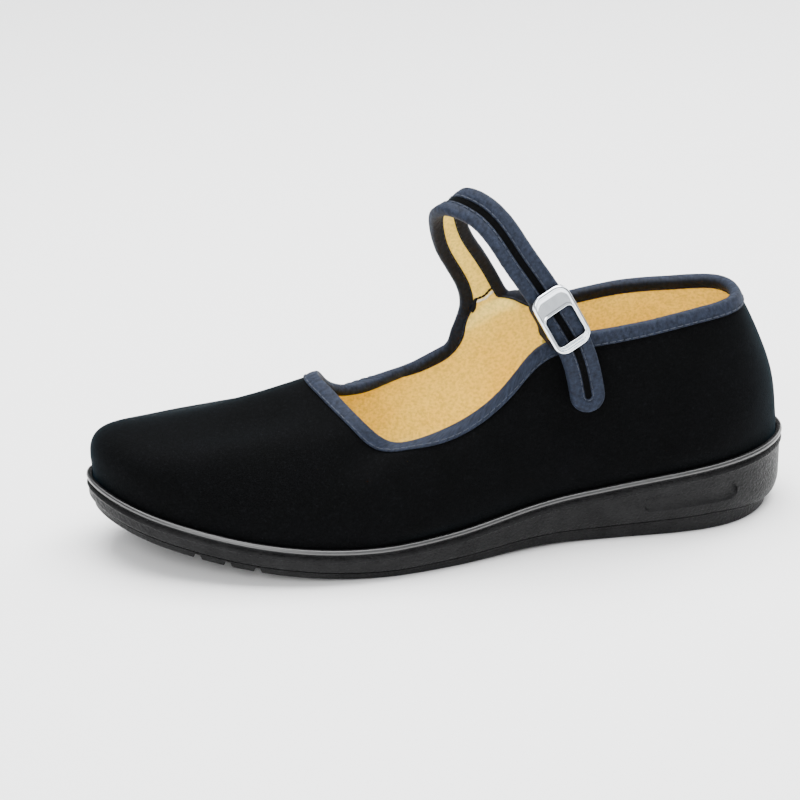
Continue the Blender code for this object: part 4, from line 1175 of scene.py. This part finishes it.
def fill_ramp(node, stops):
    """Gives a colour ramp its (place, colour) stops, where a colour may be one number."""
    elements = node.color_ramp.elements
    while len(elements) < len(stops):
        elements.new(0.5)
    for element, (place, colour) in zip(elements, stops):
        element.position = place
        element.color = (*colour, 1.0) if isinstance(colour, tuple) else (colour, colour, colour, 1.0)


class Surface:
    """A Principled material and short ways to add nodes to it."""

    def __init__(self, name, colour, roughness, **values):
        self.material = bpy.data.materials.new(name)
        self.material.use_nodes = True
        self.tree = self.material.node_tree
        self.shader = self.tree.nodes["Principled BSDF"]
        self.set("Base Color", (*colour, 1.0))
        self.set("Roughness", roughness)
        for socket, value in values.items():
            self.set(socket.replace("_", " "), value)
        self.place = self.tree.nodes.new("ShaderNodeTexCoord").outputs["Object"]
        self.relief = None

    def set(self, socket, value):
        self.shader.inputs[socket].default_value = value

    def link(self, output, target):
        self.tree.links.new(output, target)

    def node(self, kind, vector=None, **values):
        """New node with these values on its inputs, which the vector may feed."""
        node = self.tree.nodes.new("ShaderNode" + kind)
        for socket, value in values.items():
            node.inputs[socket].default_value = value
        if vector is not None:
            self.link(vector, node.inputs["Vector"])
        return node

    def lie(self):
        """Coordinates that run along and across the piece, in metres."""
        node = self.node("Attribute")
        node.attribute_name = "lie"
        return node.outputs["Vector"]

    def across(self):
        """Place across the piece, where 1 stands for a centimetre."""
        return self.node("SeparateXYZ", self.stretched(self.lie(), (100.0, 100.0, 100.0))).outputs["Y"]

    def stretched(self, source, scale, turn_deg=0.0):
        turn = (0.0, 0.0, math.radians(turn_deg))
        return self.node("Mapping", source, Scale=scale, Rotation=turn).outputs["Vector"]

    def noise(self, size, detail=2.0, source=None):
        """Noise with features of about the given size in metres."""
        return self.node("TexNoise", source or self.place, Scale=1.0 / size, Detail=detail).outputs["Fac"]

    def cells(self, size):
        return self.node("TexVoronoi", self.place, Scale=1.0 / size).outputs["Distance"]

    def waves(self, size, source, distortion):
        """Bands of about the given width in metres."""
        return self.node("TexWave", source, Scale=0.05 / size, Distortion=distortion).outputs["Fac"]

    def ramp(self, source, stops):
        node = self.node("ValToRGB")
        fill_ramp(node, stops)
        self.link(source, node.inputs["Fac"])
        return node.outputs["Color"]

    def mix(self, mode, share, first, second):
        node = self.node("Mix")
        node.data_type = "RGBA"
        node.blend_type = mode
        node.inputs["Factor"].default_value = share
        self.link(first, node.inputs["A"])
        self.link(second, node.inputs["B"])
        return node.outputs["Result"]

    def colour(self, source):
        self.link(source, self.shader.inputs["Base Color"])

    def roughness(self, source):
        self.link(source, self.shader.inputs["Roughness"])

    def bump(self, source, depth, strength=1.0):
        """Adds relief of a depth in metres over what is there already."""
        node = self.node("Bump", Strength=strength, Distance=depth)
        self.link(source, node.inputs["Height"])
        if self.relief is not None:
            self.link(self.relief, node.inputs["Normal"])
        self.relief = node.outputs["Normal"]
        self.link(self.relief, self.shader.inputs["Normal"])


def velvet_surface():
    s = Surface("velvet", (0.0011, 0.0012, 0.0014), 0.95, Sheen_Weight=0.034, Sheen_Roughness=0.34,
                Sheen_Tint=(0.16, 0.50, 0.74, 1.0), Specular_IOR_Level=0.055)
    brushed = s.noise(0.013, 2.0)
    nap = s.noise(0.00045, 1.0)
    tone = s.ramp(brushed, ((0.30, (0.0009, 0.0010, 0.0011)), (0.70, (0.0014, 0.0015, 0.0018))))
    fleck = s.ramp(s.noise(0.0009, 3.0), ((0.36, 0.55), (0.60, 1.0), (0.76, 2.4)))
    s.colour(s.mix("MULTIPLY", 1.0, tone, fleck))
    s.bump(nap, 0.00022, 0.8)
    s.bump(brushed, 0.0008, 0.25)
    return s.material


def piping_surface():
    s = Surface("piping", (0.014, 0.020, 0.038), 0.72, Sheen_Weight=0.03, Sheen_Roughness=0.45,
                Sheen_Tint=(0.50, 0.62, 0.85, 1.0), Specular_IOR_Level=0.14)
    lie = s.lie()
    twill = s.waves(0.00040, s.stretched(lie, (1.0, 1.0, 1.0), 58.0), 1.5)
    fibre = s.noise(0.00035, 2.0, s.stretched(lie, (1.0, 0.5, 1.0)))
    streaks = s.noise(0.0013, 3.0, s.stretched(lie, (1.0, 0.6, 1.0)))
    tone = s.ramp(streaks, ((0.30, (0.0058, 0.0082, 0.0152)), (0.72, (0.0205, 0.0278, 0.0490))))
    tone = s.mix("MULTIPLY", 0.6, tone, s.ramp(fibre, ((0.32, 0.45), (0.68, 1.0))))
    # Painted shade: the leg inside the shoe, past the top of the roll, is darkened in its colour, for the
    # shade inside the shoe
    s.colour(s.mix("MULTIPLY", 1.0, tone, s.ramp(s.across(), ((0.76, 1.0), (0.98, 0.36)))))
    s.bump(twill, 0.00007, 0.7)
    s.bump(fibre, 0.00012, 0.6)
    s.bump(streaks, 0.00022, 0.6)
    return s.material


def thread_surface(name, shade):
    low, high = (0.024, 0.032, 0.050), (0.048, 0.060, 0.090)
    s = Surface(name, tuple(shade * part for part in high), 0.55, Sheen_Weight=0.1 * shade,
                Specular_IOR_Level=0.4 * shade)
    s.bump(s.noise(0.0003), 0.00005, 0.5)
    stops = ((0.3, tuple(shade * part for part in low)), (0.7, tuple(shade * part for part in high)))
    s.colour(s.ramp(s.noise(0.0010), stops))
    return s.material


def lining_surface():
    s = Surface("lining", (0.86, 0.64, 0.25), 0.50, Specular_IOR_Level=0.35,
                Coat_Weight=0.05, Coat_Roughness=0.4)
    cloud = s.noise(0.020, 3.0)
    grain = s.cells(0.0016)
    fine = s.noise(0.0011, 4.0)
    tone = s.ramp(cloud, ((0.30, (0.91, 0.625, 0.095)), (0.70, (0.99, 0.750, 0.145))))
    s.colour(s.mix("MULTIPLY", 0.8, tone, s.ramp(fine, ((0.34, 0.66), (0.60, 1.0)))))
    s.roughness(s.ramp(fine, ((0.3, 0.42), (0.7, 0.60))))
    s.bump(grain, 0.00022, 0.6)
    s.bump(fine, 0.00028, 0.7)
    return s.material


def raw_edge_surface():
    s = Surface("raw_edge", (0.86, 0.80, 0.62), 0.8)
    s.colour(s.ramp(s.noise(0.0008, 2.0), ((0.3, (0.62, 0.52, 0.34)), (0.7, (0.90, 0.84, 0.68)))))
    s.bump(s.noise(0.0004), 0.00010, 0.6)
    return s.material


def rubber_surface(name, gloss):
    """Moulded rubber, dull and grained on the sides or glossy on the bead."""
    s = Surface(name, (0.0085, 0.0085, 0.0088), 0.45, Specular_IOR_Level=0.12,
                Coat_Weight=1.0 if gloss else 0.0, Coat_Roughness=0.36, Coat_IOR=1.7)
    grain = s.noise(0.0010, 3.0)
    cloud = s.noise(0.007, 3.0)
    s.colour(s.ramp(cloud, ((0.30, (0.0040, 0.0040, 0.0043)), (0.70, (0.0085, 0.0085, 0.0089)))))
    s.roughness(s.ramp(grain, ((0.3, 0.36), (0.7, 0.56))))
    s.bump(grain, 0.00006 if gloss else 0.00065, 0.9)
    s.bump(cloud, 0.00025, 0.3)
    return s.material


def metal_surface(name, colour, roughness):
    s = Surface(name, colour, roughness, Metallic=1.0)
    low, high = 0.75 * roughness, 1.35 * roughness
    s.roughness(s.ramp(s.noise(0.0030, 3.0), ((0.3, low), (0.7, high))))
    s.bump(s.noise(0.0040, 2.0), 0.00010, 0.25)
    return s.material


def painted_shade_metal_surface():
    """The slide's walls and the bar behind it, duller than its face: a near-black colour in place of the
    metal, painted shade of the strap and the slide.
    """
    s = Surface("metal_painted_shade", (0.007, 0.007, 0.009), 0.60, Specular_IOR_Level=0.03)
    s.bump(s.noise(0.0015, 2.0), 0.00008, 0.3)
    return s.material


# Studio

LIT = (0.0, 0.0, 0.05)        # what the lights point at


def add_floor():
    net = bmesh.new()
    bmesh.ops.create_grid(net, x_segments=1, y_segments=1, size=12.0)
    mesh = mesh_from("floor", net)
    floor = new_object("floor", mesh)
    floor.location.z = -0.0002
    s = Surface("floor", (0.95, 0.95, 0.95), 0.75, Specular_IOR_Level=0.2)
    s.bump(s.noise(0.004, 2.0), 0.00002, 0.2)
    mesh.materials.append(s.material)


def add_light(name, position, size, watts):
    """Panel that points at the middle of the shoe."""
    data = bpy.data.lights.new(name, "AREA")
    data.shape = "RECTANGLE"
    data.size, data.size_y = size
    data.energy = watts
    light = new_object(name, data)
    light.location = position
    light.rotation_mode = "QUATERNION"
    light.rotation_quaternion = (Vector(LIT) - Vector(position)).to_track_quat("-Z", "Y")


def add_world():
    """Soft room: pale at the floor's level and overhead, with a darker band between."""
    world = bpy.data.worlds.new("studio")
    bpy.context.scene.world = world
    world.use_nodes = True
    tree = world.node_tree
    split = tree.nodes.new("ShaderNodeSeparateXYZ")
    tree.links.new(tree.nodes.new("ShaderNodeTexCoord").outputs["Generated"], split.inputs[0])
    shades = tree.nodes.new("ShaderNodeValToRGB")
    tree.links.new(split.outputs["Z"], shades.inputs["Fac"])
    stops = ((0.0, 0.85), (0.05, 0.80), (0.14, 0.22), (0.42, 0.28), (0.62, 0.90), (1.0, 1.0))
    fill_ramp(shades, [(height, (shade * 0.97, shade * 0.985, shade)) for height, shade in stops])
    background = tree.nodes["Background"]
    background.inputs["Strength"].default_value = 1.2
    tree.links.new(shades.outputs["Color"], background.inputs["Color"])


# Camera at the photograph's angle.  The photograph's frame is 800 pixels square.
AZIMUTH_DEG = -14.5
ELEVATION_DEG = 23.0
DISTANCE = 1.4
LENS = 174.8
LOOKED_AT = (0.00465, 0.0012, 0.04)
AIM_ASIDE = -0.0198           # the middle of the frame, from the point looked at
AIM_UP = 0.0069


def add_camera():
    azimuth, elevation = math.radians(AZIMUTH_DEG), math.radians(ELEVATION_DEG)
    back = Vector((
        math.sin(azimuth) * math.cos(elevation), -math.cos(azimuth) * math.cos(elevation), math.sin(elevation)
    ))
    right = Vector((math.cos(azimuth), math.sin(azimuth), 0.0))
    data = bpy.data.cameras.new("camera")
    data.lens = LENS
    data.clip_start, data.clip_end = 0.05, 20.0
    camera = new_object("camera", data)
    camera.location = Vector(LOOKED_AT) + DISTANCE * back
    aim = Vector(LOOKED_AT) + AIM_ASIDE * right + AIM_UP * back.cross(right)
    camera.rotation_mode = "QUATERNION"
    camera.rotation_quaternion = (aim - camera.location).to_track_quat("-Z", "Y")
    bpy.context.scene.camera = camera


def main():
    velvet, lining, cloth = velvet_surface(), lining_surface(), piping_surface()
    make_upper(velvet, lining)
    # The second thread is the thread's colour darkened: painted shade for the stitches inside the shoe
    make_piping(cloth, thread_surface("thread", 0.6), thread_surface("thread_painted_shade", 0.35))
    make_strap(velvet, lining)
    make_seam(raw_edge_surface(), thread_surface("thread_seam", 0.12))
    make_outsole(rubber_surface("rubber", False), rubber_surface("rubber_bead", True))
    make_insole(lining)
    # The buckle's metal colour is partly its own pale colour and partly painted reflection: its cool blue
    # tint stands for a cool sky reflected in the plate
    make_buckle(metal_surface("metal", (0.90, 0.95, 1.0), 0.12), painted_shade_metal_surface())
    make_tab(lining)
    add_floor()
    add_world()
    add_light("overhead", (0.05, 0.15, 0.95), (1.1, 0.8), 34.0)
    add_light("front", (-0.45, -0.95, 0.60), (0.7, 0.7), 12.0)
    add_light("rim", (0.85, 0.55, 0.55), (0.5, 0.7), 6.0)
    add_camera()


main()
